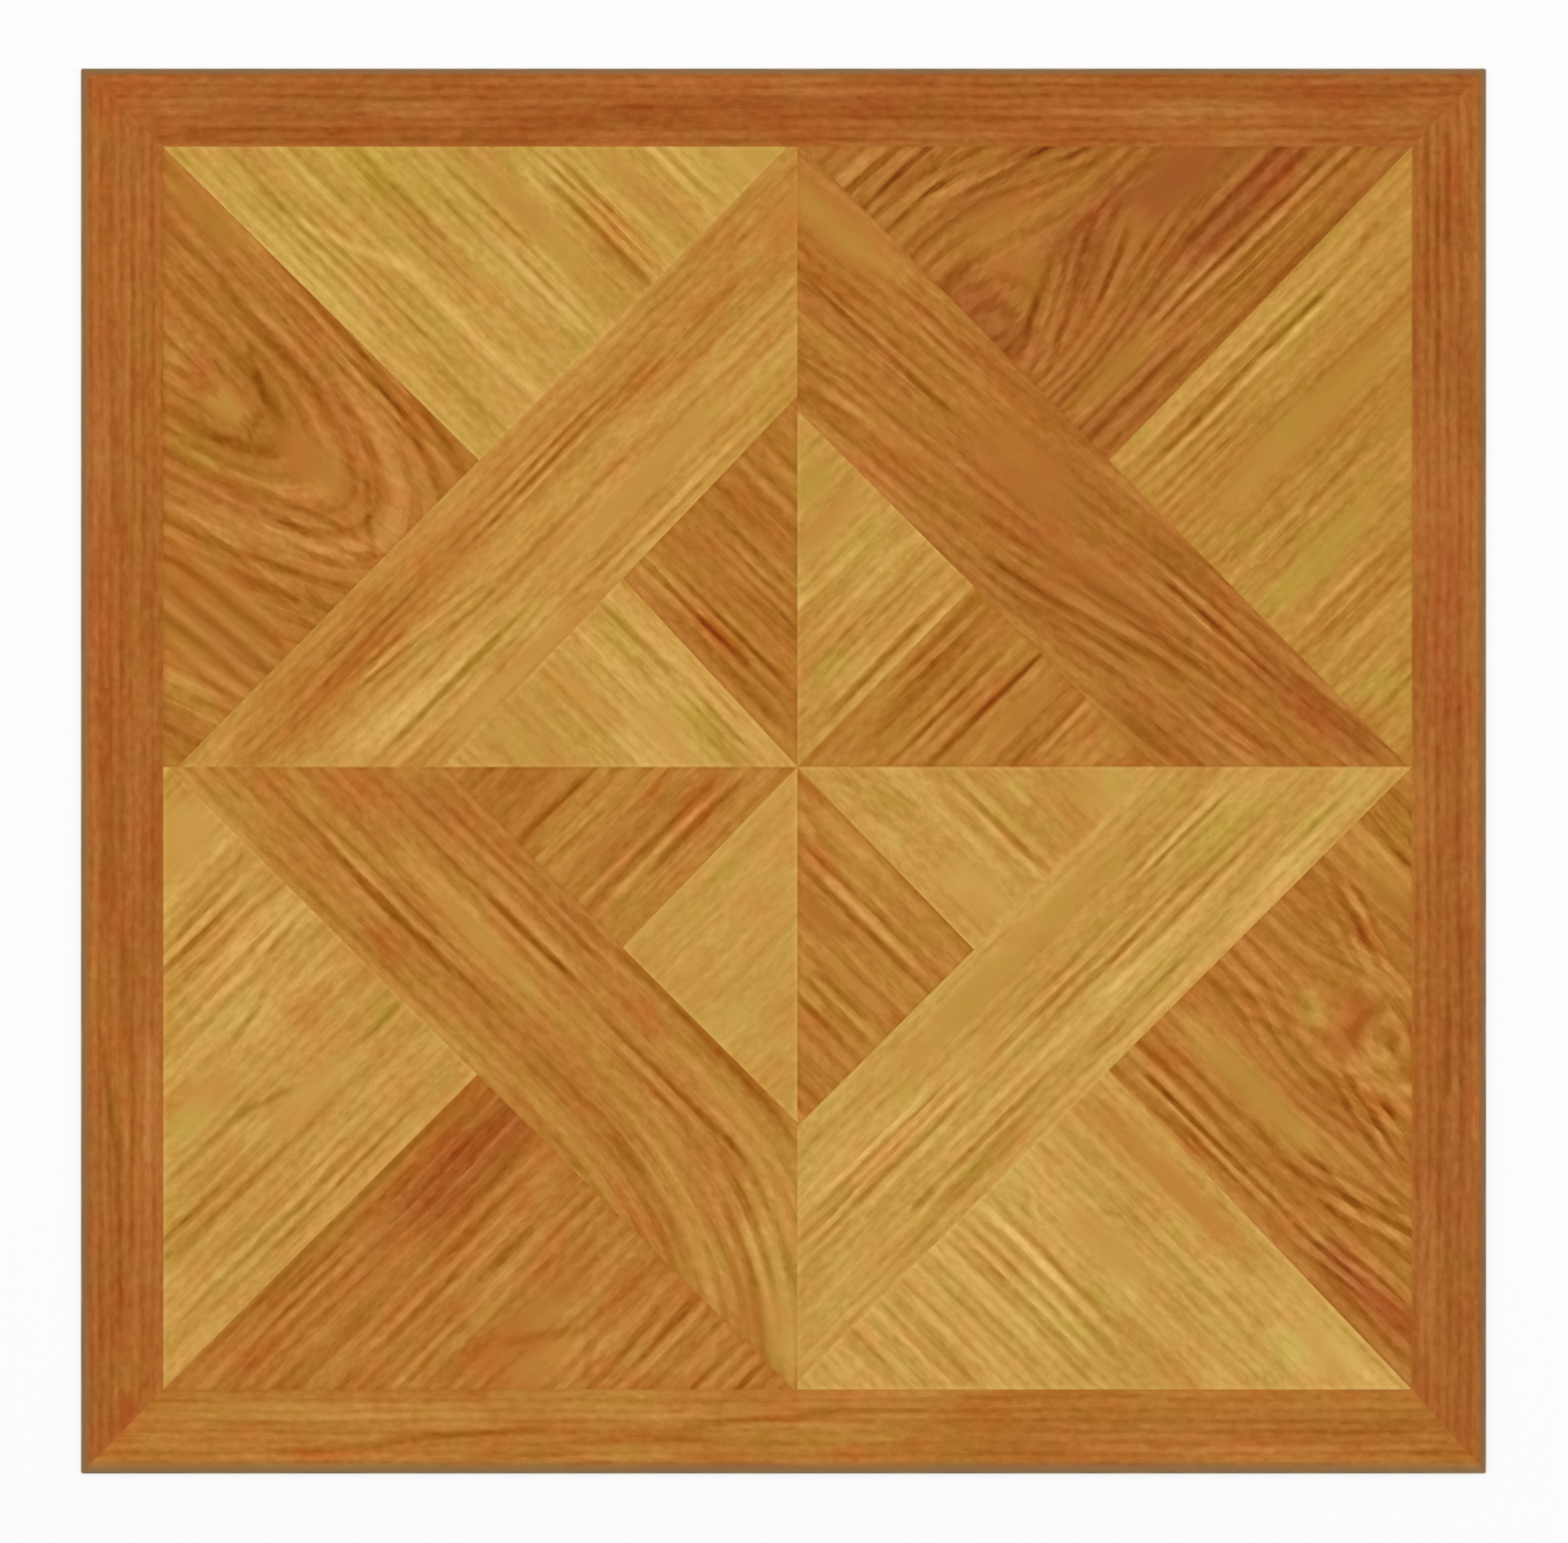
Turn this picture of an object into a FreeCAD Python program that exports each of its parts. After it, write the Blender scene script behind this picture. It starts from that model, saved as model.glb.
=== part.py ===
# A 12 inch vinyl floor tile: one flat sheet, cut by a die, lying with its printed face up.
# The origin is in the middle of the back, on the floor, and +Z points out of the print.
import FreeCAD, Part
import Sketcher
import os

PARTS_FOLDER = "parts"

# The driving dimensions, in millimetres, each with what it is on the real tile.
SIZES = {
    "tile_side": (304.8, "12 inch side, from cut edge to cut edge"),
    "tile_thickness": (1.2, "whole sheet, from its back to its clear wear layer"),
    "corner_radius": (0.5, "corner of the outline, as the cutting die leaves it"),
    "face_edge_radius": (0.35, "round rim of the face, where the die pulls it down"),
    "back_edge_break": (0.1, "45 degree break round the back"),
}

BACK_CENTRE = FreeCAD.Vector(0, 0, 0)
SAME_PLACE = FreeCAD.Base.Precision.confusion()

# How a sketch numbers the ends of a line, and its own origin.
START, END = 1, 2
SKETCH_ORIGIN = (-1, 1)


def make_sheet(doc):
    """Writes the driving dimensions into the document's spreadsheet, one row each."""
    sheet = doc.addObject("Spreadsheet::Sheet", "Sizes")
    for row, (name, (value, meaning)) in enumerate(SIZES.items(), start=1):
        sheet.set(f"A{row}", meaning)
        sheet.set(f"B{row}", str(value))
        sheet.setAlias(f"B{row}", name)
    doc.recompute()
    return sheet


def draw_square(sketch, side):
    """Draws a square centred on the origin, and ties its side to the spreadsheet."""
    half = side / 2
    corners = [FreeCAD.Vector(x * half, y * half, 0) for x, y in ((-1, -1), (1, -1), (1, 1), (-1, 1))]
    lines = []
    for start, end in zip(corners, corners[1:] + corners[:1]):
        lines.append(sketch.addGeometry(Part.LineSegment(start, end)))
    bottom, right, top, left = lines
    for line, following in zip(lines, lines[1:] + lines[:1]):
        sketch.addConstraint(Sketcher.Constraint("Coincident", line, END, following, START))
    for line in (bottom, top):
        sketch.addConstraint(Sketcher.Constraint("Horizontal", line))
    for line in (right, left):
        sketch.addConstraint(Sketcher.Constraint("Vertical", line))
    sketch.addConstraint(Sketcher.Constraint("Equal", bottom, right))
    sketch.addConstraint(Sketcher.Constraint("Symmetric", bottom, START, right, END, *SKETCH_ORIGIN))
    width = sketch.addConstraint(Sketcher.Constraint("DistanceX", bottom, START, bottom, END, side))
    sketch.renameConstraint(width, "side")
    sketch.setExpression("Constraints.side", "Sizes.tile_side")


def is_upright(edge):
    """True for an edge straight up through the sheet, as at each corner of its outline."""
    box = edge.BoundBox
    return box.XLength < SAME_PLACE and box.YLength < SAME_PLACE


def lies_at(edge, height):
    """True for an edge that runs level at this height, such as one round the face."""
    box = edge.BoundBox
    return abs(box.ZMin - height) < SAME_PLACE and abs(box.ZMax - height) < SAME_PLACE


def edge_names(feature, wanted):
    """The names of a feature's edges for which wanted(edge) is true."""
    return [f"Edge{number}" for number, edge in enumerate(feature.Shape.Edges, start=1) if wanted(edge)]


def dress(doc, body, kind, label, base, wanted, **sizes):
    """Adds a Fillet or Chamfer on the wanted edges of base, with its sizes tied to the spreadsheet."""
    doc.recompute()
    feature = body.newObject(f"PartDesign::{kind}", label)
    feature.Base = (base, edge_names(base, wanted))
    for property_name, alias in sizes.items():
        feature.setExpression(property_name, f"Sizes.{alias}")
    return feature


def make_vinyl_tile(doc, sheet):
    """The whole tile. Backing, print and wear layer are fused in one calendered sheet."""
    body = doc.addObject("PartDesign::Body", "VinylTile")
    body.Label = "vinyl_tile"
    ground = next(item for item in body.Origin.OriginFeatures if item.Role == "XY_Plane")

    outline = body.newObject("Sketcher::SketchObject", "Outline")
    outline.AttachmentSupport = [(ground, "")]
    outline.MapMode = "FlatFace"
    draw_square(outline, sheet.tile_side)

    blank = body.newObject("PartDesign::Pad", "Blank")
    blank.Profile = outline
    blank.setExpression("Length", "Sizes.tile_thickness")

    corners = dress(doc, body, "Fillet", "CutCorners", blank, is_upright, Radius="corner_radius")
    rim = dress(
        doc, body, "Fillet", "FaceRim", corners,
        lambda edge: lies_at(edge, sheet.tile_thickness), Radius="face_edge_radius",
    )
    dress(doc, body, "Chamfer", "BackRim", rim, lambda edge: lies_at(edge, 0), Size="back_edge_break")
    body.Placement = FreeCAD.Placement(BACK_CENTRE, FreeCAD.Rotation())
    return body


def check(doc, parts):
    """Stops with a message if a feature failed or a piece isn't one sound solid."""
    for item in doc.Objects:
        if {"Invalid", "Error"} & set(item.State):
            raise RuntimeError(f"{item.Name} failed: {item.State}")
    for part in parts:
        shape = part.Shape
        if shape.isNull() or not shape.isValid() or len(shape.Solids) != 1:
            raise RuntimeError(f"{part.Label} is not one valid solid")


def main():
    doc = FreeCAD.newDocument("VinylFloorTile")
    sheet = make_sheet(doc)
    parts = [make_vinyl_tile(doc, sheet)]
    doc.recompute()
    check(doc, parts)
    os.makedirs(PARTS_FOLDER, exist_ok=True)
    for part in parts:
        part.Shape.exportStep(os.path.join(PARTS_FOLDER, f"{part.Label}.step"))
        box = part.Shape.BoundBox
        print(f"{part.Label}: {box.XLength:.2f} x {box.YLength:.2f} x {box.ZLength:.2f} mm,"
              f" {part.Shape.Volume:.0f} mm3, {len(part.Shape.Faces)} faces")


main()
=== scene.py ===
import math

import bmesh
import bpy
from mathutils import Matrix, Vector


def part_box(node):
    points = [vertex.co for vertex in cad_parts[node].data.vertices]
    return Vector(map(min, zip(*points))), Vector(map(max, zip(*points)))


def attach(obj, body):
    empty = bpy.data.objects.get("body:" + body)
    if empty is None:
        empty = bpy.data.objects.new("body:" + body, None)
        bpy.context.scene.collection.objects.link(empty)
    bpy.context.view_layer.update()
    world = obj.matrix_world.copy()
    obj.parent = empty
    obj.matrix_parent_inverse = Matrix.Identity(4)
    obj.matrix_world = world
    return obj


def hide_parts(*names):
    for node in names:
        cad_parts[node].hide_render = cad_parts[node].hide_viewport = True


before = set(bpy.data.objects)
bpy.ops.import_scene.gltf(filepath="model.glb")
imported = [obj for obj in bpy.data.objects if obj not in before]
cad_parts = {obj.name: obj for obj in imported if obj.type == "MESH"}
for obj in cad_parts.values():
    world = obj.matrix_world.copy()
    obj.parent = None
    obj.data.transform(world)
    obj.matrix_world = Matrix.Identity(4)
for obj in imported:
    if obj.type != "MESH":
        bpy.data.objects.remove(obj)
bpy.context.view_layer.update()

# The sheet: one square of filled vinyl, calendered to gauge and cut out by a die.
# The die rounds the corners a little, draws the rim of the face down, and leaves a fine
# break round the back. The sheet lies on its back, its print up.
MM = 0.001
sheet_low, sheet_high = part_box("vinyl_tile")
half_side = (sheet_high[0] - sheet_low[0]) / 2
gauge = sheet_high[2] - sheet_low[2]
corner_radius = 0.5 * MM
face_rim_radius = 0.35 * MM
back_break = 0.1 * MM
corner_steps = 6
rim_steps = 6

sheet = bmesh.new()
printed_tile = bpy.data.objects.new("printed_tile", bpy.data.meshes.new("printed_tile"))
bpy.context.scene.collection.objects.link(printed_tile)


def outline_points(inset, height):
    """The sheet's outline at this height, drawn in by inset, from its right side round to the left."""
    points = []
    corner_centre = half_side - corner_radius
    radius = corner_radius - inset
    for quarter, (side_x, side_y) in enumerate(((1, 1), (-1, 1), (-1, -1), (1, -1))):
        for step in range(corner_steps + 1):
            turn = math.radians(90) * (quarter + step / corner_steps)
            x = side_x * corner_centre + radius * math.cos(turn)
            y = side_y * corner_centre + radius * math.sin(turn)
            points.append(sheet.verts.new((x, y, height)))
    return points


def wall_between(lower, upper, material):
    """The wall of faces between two outlines of the sheet."""
    for here in range(len(lower)):
        after = (here + 1) % len(lower)
        face = sheet.faces.new((lower[here], lower[after], upper[after], upper[here]))
        face.material_index = material
        face.smooth = True


back_outline = outline_points(back_break, 0)
lower_outline = outline_points(0, back_break)
shoulder_outline = outline_points(0, gauge - face_rim_radius)
rim_outlines = [shoulder_outline]
for step in range(1, rim_steps + 1):
    turn = math.radians(90) * step / rim_steps
    drawn_in = face_rim_radius * (1 - math.cos(turn))
    rim_outlines.append(outline_points(drawn_in, gauge - face_rim_radius * (1 - math.sin(turn))))
face_outline = rim_outlines[-1]

# The back: the bare filled vinyl, pale grey-beige, with the dull cross-hatched touch of
# the calender's rubber roll and specks of ground limestone filler.
# Its material brings in the wire class that all the materials are written with.
noise_detail = 2.0
noise_roughness = 0.5
seed_step = (3.7, 5.3, 1.9)
vinyl_ior = 1.5


def linear(level):
    """A level from 0 to 255 on a screen, in the renderer's own scale, by the screen's standard curve."""
    part = level / 255
    return part / 12.92 if part <= 0.04045 else ((part + 0.055) / 1.055) ** 2.4


def colour(red, green, blue):
    """A colour written as it looks on a screen, 0 to 255 each."""
    return (linear(red), linear(green), linear(blue), 1)


def lay_stops(ramp, stops):
    """Sets a ramp's stops, each a place from 0 to 1 and a colour."""
    while len(ramp.elements) < len(stops):
        ramp.elements.new(1)
    for element, (place, paint) in zip(ramp.elements, stops):
        element.position = place
        element.color = paint


def open_socket(sockets, name):
    """The socket of that number or name that the node's settings leave in use."""
    if isinstance(name, int):
        return sockets[name]
    return next(one for one in sockets if not one.is_unavailable and name in (None, one.name))


class Wire:
    """A value that varies over a surface: one node's output. Sums on it add Math nodes."""

    def __init__(self, tree, socket=None):
        self.tree = tree
        self.socket = socket

    def node(self, kind, settings, sockets, output=None):
        """Adds a node: its settings first, a ramp's stops among them, then what its sockets hold."""
        made = self.tree.nodes.new(kind)
        for name, value in settings.items():
            if name == "stops":
                lay_stops(made.color_ramp, value)
            else:
                setattr(made, name, value)
        for name, value in sockets.items():
            socket = open_socket(made.inputs, name)
            if isinstance(value, Wire):
                self.tree.links.new(value.socket, socket)
            else:
                socket.default_value = value
        return Wire(self.tree, open_socket(made.outputs, output) if made.outputs else None)

    def math(self, operation, *others):
        """One Math node on this value and the others, in that order."""
        held = dict(enumerate((self, *others)))
        return self.node("ShaderNodeMath", {"operation": operation}, held)

    def vector(self, operation, *others):
        """One Vector Math node on this place or colour and the others, in that order."""
        held = dict(enumerate((self, *others)))
        return self.node("ShaderNodeVectorMath", {"operation": operation}, held)

    def axis(self, name):
        """One number of a place: its X, Y or Z."""
        return self.node("ShaderNodeSeparateXYZ", {}, {"Vector": self}, name)

    def __add__(self, other):
        return self.math("ADD", other)

    __radd__ = __add__

    def __sub__(self, other):
        return self.math("SUBTRACT", other)

    def __rsub__(self, other):
        return self.node("ShaderNodeMath", {"operation": "SUBTRACT"}, {0: other, 1: self})

    def __mul__(self, other):
        return self.math("MULTIPLY", other)

    __rmul__ = __mul__


def new_material(name, thing=printed_tile):
    """A new material on the tile or another thing: its number there, and a bare wire in its tree."""
    material = bpy.data.materials.new(name)
    material.use_nodes = True
    material.node_tree.nodes.clear()
    thing.data.materials.append(material)
    return len(thing.data.materials) - 1, Wire(material.node_tree)


def millimetres(tree, middle=(0, 0), grain=0):
    """A point's place in millimetres from middle, turned so that x runs along the grain."""
    return tree.node("ShaderNodeMapping", {"vector_type": "TEXTURE"}, {
        "Vector": tree.node("ShaderNodeTexCoord", {}, {}, "Object"),
        "Location": (middle[0] * MM, middle[1] * MM, 0),
        "Rotation": (0, 0, math.radians(grain)),
        "Scale": (MM, MM, MM),
    })


def noise(place, size, seed, detail=noise_detail):
    """Cloudy noise round 0, its clouds of this size in millimetres along x, y and z."""
    per_cloud = tuple(1 / one for one in size)
    from_seed = tuple(seed * one for one in seed_step)
    clouds = place.node("ShaderNodeTexNoise", {"noise_dimensions": "3D"}, {
        "Vector": place.vector("MULTIPLY_ADD", per_cloud, from_seed),
        "Scale": 1.0, "Detail": detail, "Roughness": noise_roughness,
    })
    return clouds - 0.5


def smooth_step(value, start, end, low, high):
    """Goes smoothly from low to high as the value goes from start to end."""
    return value.node("ShaderNodeMapRange", {"interpolation_type": "SMOOTHSTEP"}, {
        "Value": value, "From Min": start, "From Max": end, "To Min": low, "To Max": high,
    })


def ramp_colour(value, stops):
    """The colour that a value from 0 to 1 has between these stops."""
    return value.node("ShaderNodeValToRGB", {"stops": stops}, {"Fac": value})


def lay_over(under, over, share, blend="MIX"):
    """One colour laid over another, by this share."""
    return under.node("ShaderNodeMix", {"data_type": "RGBA", "blend_type": blend}, {
        "Factor": share, "A": under, "B": over,
    })


def finish_surface(tree, paint, roughness, relief, height):
    """Ends a material: its colour, its sheen, and its relief as a height in millimetres."""
    bump = tree.node("ShaderNodeBump", {}, {"Strength": 1.0, "Distance": height * MM, "Height": relief})
    shader = tree.node("ShaderNodeBsdfPrincipled", {}, {
        "Base Color": paint, "Roughness": roughness, "Normal": bump, "IOR": vinyl_ior,
    })
    tree.node("ShaderNodeOutputMaterial", {}, {"Surface": shader})


filler_stops = (
    (0.0, colour(148, 138, 120)),
    (0.45, colour(176, 167, 149)),
    (0.6, colour(184, 176, 158)),
    (1.0, colour(206, 199, 184)),
)
back_roughness = 0.72
roll_pitch = 0.9
roll_mark_height = 0.04

back, tree = new_material("filled_vinyl_back")
place = millimetres(tree)
clouds = noise(place, (40, 40, 40), 1)
specks = noise(place, (0.7, 0.7, 0.7), 2)
across_web = noise(place, (90, roll_pitch, 1), 3)
along_web = noise(place, (roll_pitch, 60, 1), 4)
filler = ramp_colour(0.5 + clouds * 0.5 + specks * 0.7 + across_web * 0.3, filler_stops)
roll_marks = across_web + along_web + specks * 0.5
finish_surface(tree, filler, back_roughness + specks * 0.2, roll_marks, roll_mark_height)

back_face = sheet.faces.new(list(reversed(back_outline)))
back_face.material_index = back

# The cut edge: the die's clean cut through the filled base, the printed film near the top
# and the clear wear layer over it. Filler grains are torn out along it, so it is duller
# than the face and marked with fine upright drags.
film_below_face = 0.36
film_thickness = 0.07
film_blur = 0.05
film_brown = colour(128, 78, 34)
wear_layer_tone = colour(133, 106, 74)
wear_layer_cover = 0.75
filler_grain = 0.3
drag_width = 0.25
drag_length = 6
drag_depth = 0.05
torn_roughness = 0.66
wear_layer_gloss = 0.25

cut_edge, tree = new_material("cut_vinyl_edge")
place = millimetres(tree)
depth = gauge / MM - place.axis("Z")
grains = noise(place, (filler_grain, filler_grain, filler_grain), 5)
drags = noise(place, (drag_width, drag_width, drag_length), 6)
base_vinyl = ramp_colour(0.42 + grains * 1.1 + drags * 0.8, filler_stops)
from_film = (depth + grains * 0.06 - film_below_face).math("ABSOLUTE")
in_film = smooth_step(from_film, film_thickness / 2, film_thickness, 1, 0)
in_wear_layer = smooth_step(depth + drags * 0.05, film_below_face - film_blur, film_below_face, 1, 0)
cut_colour = lay_over(base_vinyl, wear_layer_tone, in_wear_layer * wear_layer_cover)
cut_colour = lay_over(cut_colour, film_brown, in_film)
cut_roughness = torn_roughness - in_wear_layer * wear_layer_gloss
finish_surface(tree, cut_colour, cut_roughness, drags + grains * 0.6, drag_depth)

wall_between(back_outline, lower_outline, cut_edge)
wall_between(lower_outline, shoulder_outline, cut_edge)

# The drawn rim: where the die pulls the face down, the print is stretched thin over the
# round and looks a dull grey-brown, with the wear layer's sheen still on it.
stretched_print = colour(134, 106, 72)
rim_stops = (
    (0.3, colour(112, 86, 56)),
    (0.5, stretched_print),
    (0.7, colour(156, 126, 88)),
)
rim_patch = 9
rim_pimple = 0.8
rim_pimple_height = 0.01
rim_roughness = 0.45

drawn_rim, tree = new_material("drawn_print_rim")
place = millimetres(tree)
patches = noise(place, (rim_patch, rim_patch, rim_patch), 7)
pimples = noise(place, (rim_pimple, rim_pimple, rim_pimple), 8)
dull_print = ramp_colour(0.5 + patches * 0.9, rim_stops)
finish_surface(tree, dull_print, rim_roughness + patches * 0.1, pimples, rim_pimple_height)

for lower, upper in zip(rim_outlines, rim_outlines[1:]):
    wall_between(lower, upper, drawn_rim)

# The joints of the print: a frame of four mitred strips round a square field. The field is
# laid in four quarters, each a corner of two triangles, a slanting band, and two small
# triangles that meet the others at the centre. Places are in millimetres from the middle.
field_left, field_right = -134.5, 136.2
field_bottom, field_top = -134.1, 135.4
centre = (3.0, 0.9)
joint_slack = 0.001 * MM

joints = {
    "field_tl": (field_left, field_top), "field_tr": (field_right, field_top),
    "field_bl": (field_left, field_bottom), "field_br": (field_right, field_bottom),
    "field_l": (field_left, centre[1]), "field_r": (field_right, centre[1]),
    "field_t": (centre[0], field_top), "field_b": (centre[0], field_bottom),
    "centre": centre,
    "tl_outer_side": (-131.4, centre[1]), "tl_outer_end": (0.9, field_top),
    "tl_inner_side": (-73.9, centre[1]), "tl_inner_end": (centre[0], 81.4),
    "tr_outer_side": (135.5, centre[1]), "tr_outer_end": (4.1, field_top),
    "tr_inner_side": (80.6, centre[1]), "tr_inner_end": (centre[0], 78.1),
    "bl_outer_side": (-133.4, centre[1]), "bl_outer_end": (2.2, field_bottom),
    "bl_inner_side": (-74.1, centre[1]), "bl_inner_end": (centre[0], -76.2),
    "br_outer_side": (field_right, centre[1]), "br_outer_end": (centre[0], -132.4),
    "br_inner_side": (80.9, centre[1]), "br_inner_end": (centre[0], -77.1),
}
# How far along each edge of a band the joint between two triangles meets it.
meeting_shares = {"outer": 0.494, "inner": 0.508}
for quarter in ("tl", "tr", "bl", "br"):
    for edge, share in meeting_shares.items():
        start = Vector(joints[f"{quarter}_{edge}_side"])
        end = Vector(joints[f"{quarter}_{edge}_end"])
        joints[f"{quarter}_{edge}_meet"] = tuple(start.lerp(end, share))

face_points = {}
for quarter, name in enumerate(("tile_tr", "tile_tl", "tile_bl", "tile_br")):
    face_points[name] = face_outline[quarter * (corner_steps + 1) + corner_steps // 2]
placed = {}
for name, (x, y) in joints.items():
    if (x, y) not in placed:
        placed[x, y] = sheet.verts.new((x * MM, y * MM, gauge))
    face_points[name] = placed[x, y]


def joint_run(start, end):
    """The points of the face that lie on the joint from start up to end, start first."""
    whole = end.co - start.co
    on_run = []
    for point in dict.fromkeys(list(face_points.values()) + face_outline):
        part = (point.co - start.co).dot(whole) / whole.length_squared
        off = (point.co - start.co - whole * part).length
        if 0 <= part < 1 and off < joint_slack:
            on_run.append((part, point))
    return [point for part, point in sorted(on_run, key=lambda pair: pair[0])]


def outer_run(start, end):
    """The points round the rim of the face from one tile corner to the next, anticlockwise."""
    first, last = face_outline.index(start), face_outline.index(end)
    count = (last - first) % len(face_outline)
    return [face_outline[(first + step) % len(face_outline)] for step in range(count)]


# The board print: rotogravure on film, in ochre inks from dark red-brown to pale straw yellow.
# Each board has its own figure, on a field of grain lines that bends round knots and arches.
# The film is sealed by a satin wear layer with fine pressed ticks.
levels = 255
inks = {
    50: (92, 38, 18),
    68: (118, 53, 20),
    84: (140, 70, 25),
    107: (166, 95, 35),
    132: (185, 121, 46),
    154: (198, 151, 67),
    174: (213, 174, 90),
    190: (227, 190, 109),
    208: (241, 208, 132),
}
ink_stops = [(level / levels, colour(*ink)) for level, ink in inks.items()]
green_ink = (0.92, 1.02, 0.80, 1)
plain_ink = (1, 1, 1, 1)
red_ink = (1.03, 0.88, 0.84, 1)
deep_red_ink = (1.05, 0.73, 0.70, 1)
shade_inks = (green_ink, plain_ink, red_ink, deep_red_ink)
shade_steps = len(shade_inks) - 1
shade_stops = [(step / shade_steps, ink) for step, ink in enumerate(shade_inks)]
display_gamma = 2.2

# How far the grain lines stray, and how their streaks are torn at the ends, in millimetres.
wide_wander, small_wander, line_drift = 1.6, 0.8, 1.6
tear_length, tear_width = 8, 0.5
# A sweep that starts beyond the end of any board.
no_sweep = (1e3, 0, 0)
# The dark part of a grain line's wave, and its share of the pitch, which keeps the tone of the board.
late_wood_edge = (-0.45, 0.85)
late_wood_share = 0.36
# What brings the strengths that a board is given to ink levels, and to steps of redness.
ring_gain, fibre_gain, mottle_gain = 5.5, 1.8, 5.5
wide_cloud_gain, small_cloud_gain = 7, 3
red_cloud_gain = 1.4
dark_board_level = 140
flush_on_dark, flush_on_pale = 2.8, 2.2
# How much of a patch is at full strength, and how strong a group of lines or rings is there.
calm_core = 0.3
group_core, group_gain = 0.5, 1.8
knot_core, knot_gain = 0.4, 1.5
knot_unevenness = 9
# A streak reaches these shares of its length and width each way, and fades outward from its core.
# From broad_streak millimetres on it is a tone of the wood, and below that a part of the figure.
streak_half_length, streak_half_width = 0.55, 1.2
stroke_tip, stroke_core = 0.65, 0.1
broad_streak = 3.0
joint_rim_width = 1.2
fringe_start, fringe_cover = 0.2, 0.85
wear_roughness = 0.36
tick_depth = 0.02
any_height = 1e6


def flat_place(x, y):
    """A place made of two numbers, at no height."""
    return x.node("ShaderNodeCombineXYZ", {}, {"X": x, "Y": y, "Z": 0.0})


def from_spot(place, at, slope=0.0, reach=(1, 1)):
    """A place as seen from a spot, along a line of this slope, in shares of the spot's reach."""
    return place.node("ShaderNodeMapping", {"vector_type": "TEXTURE"}, {
        "Vector": place, "Location": (*at, 0), "Rotation": (0, 0, math.atan(slope)),
        "Scale": (*reach, any_height),
    })


def spot(place, at, reach, strength, core=0.0, slope=0.0):
    """A soft patch, so many millimetres long and wide each way. Its core is at full strength."""
    away = from_spot(place, at, slope, reach).vector("LENGTH")
    return smooth_step(away, core, 1, strength, 0)


def spot_number(u, v, at, reach, strength):
    """What spot gives at one place, as a number."""
    inside = max(0, 1 - math.hypot((u - at[0]) / reach[0], (v - at[1]) / reach[1]))
    return strength * inside * inside * (3 - 2 * inside)


def stroke(place, at, reach, strength, slope=0.0):
    """A drawn line of even width, which fades at its ends. It reaches so far to its ends and edges."""
    near = from_spot(place, at, slope, reach).vector("ABSOLUTE")
    run = smooth_step(near.axis("X"), stroke_tip, 1, 1, 0)
    return run * smooth_step(near.axis("Y"), stroke_core, 1, strength, 0)


def shift_inks(paint, change):
    """Makes all the inks of a paint paler or darker alike, as the eye sees it, so that its hue stays."""
    seen = paint.node("ShaderNodeGamma", {}, {"Color": paint, "Gamma": 1 / display_gamma})
    changed = seen.vector("ADD", change)
    return paint.node("ShaderNodeGamma", {}, {"Color": changed, "Gamma": display_gamma})


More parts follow.
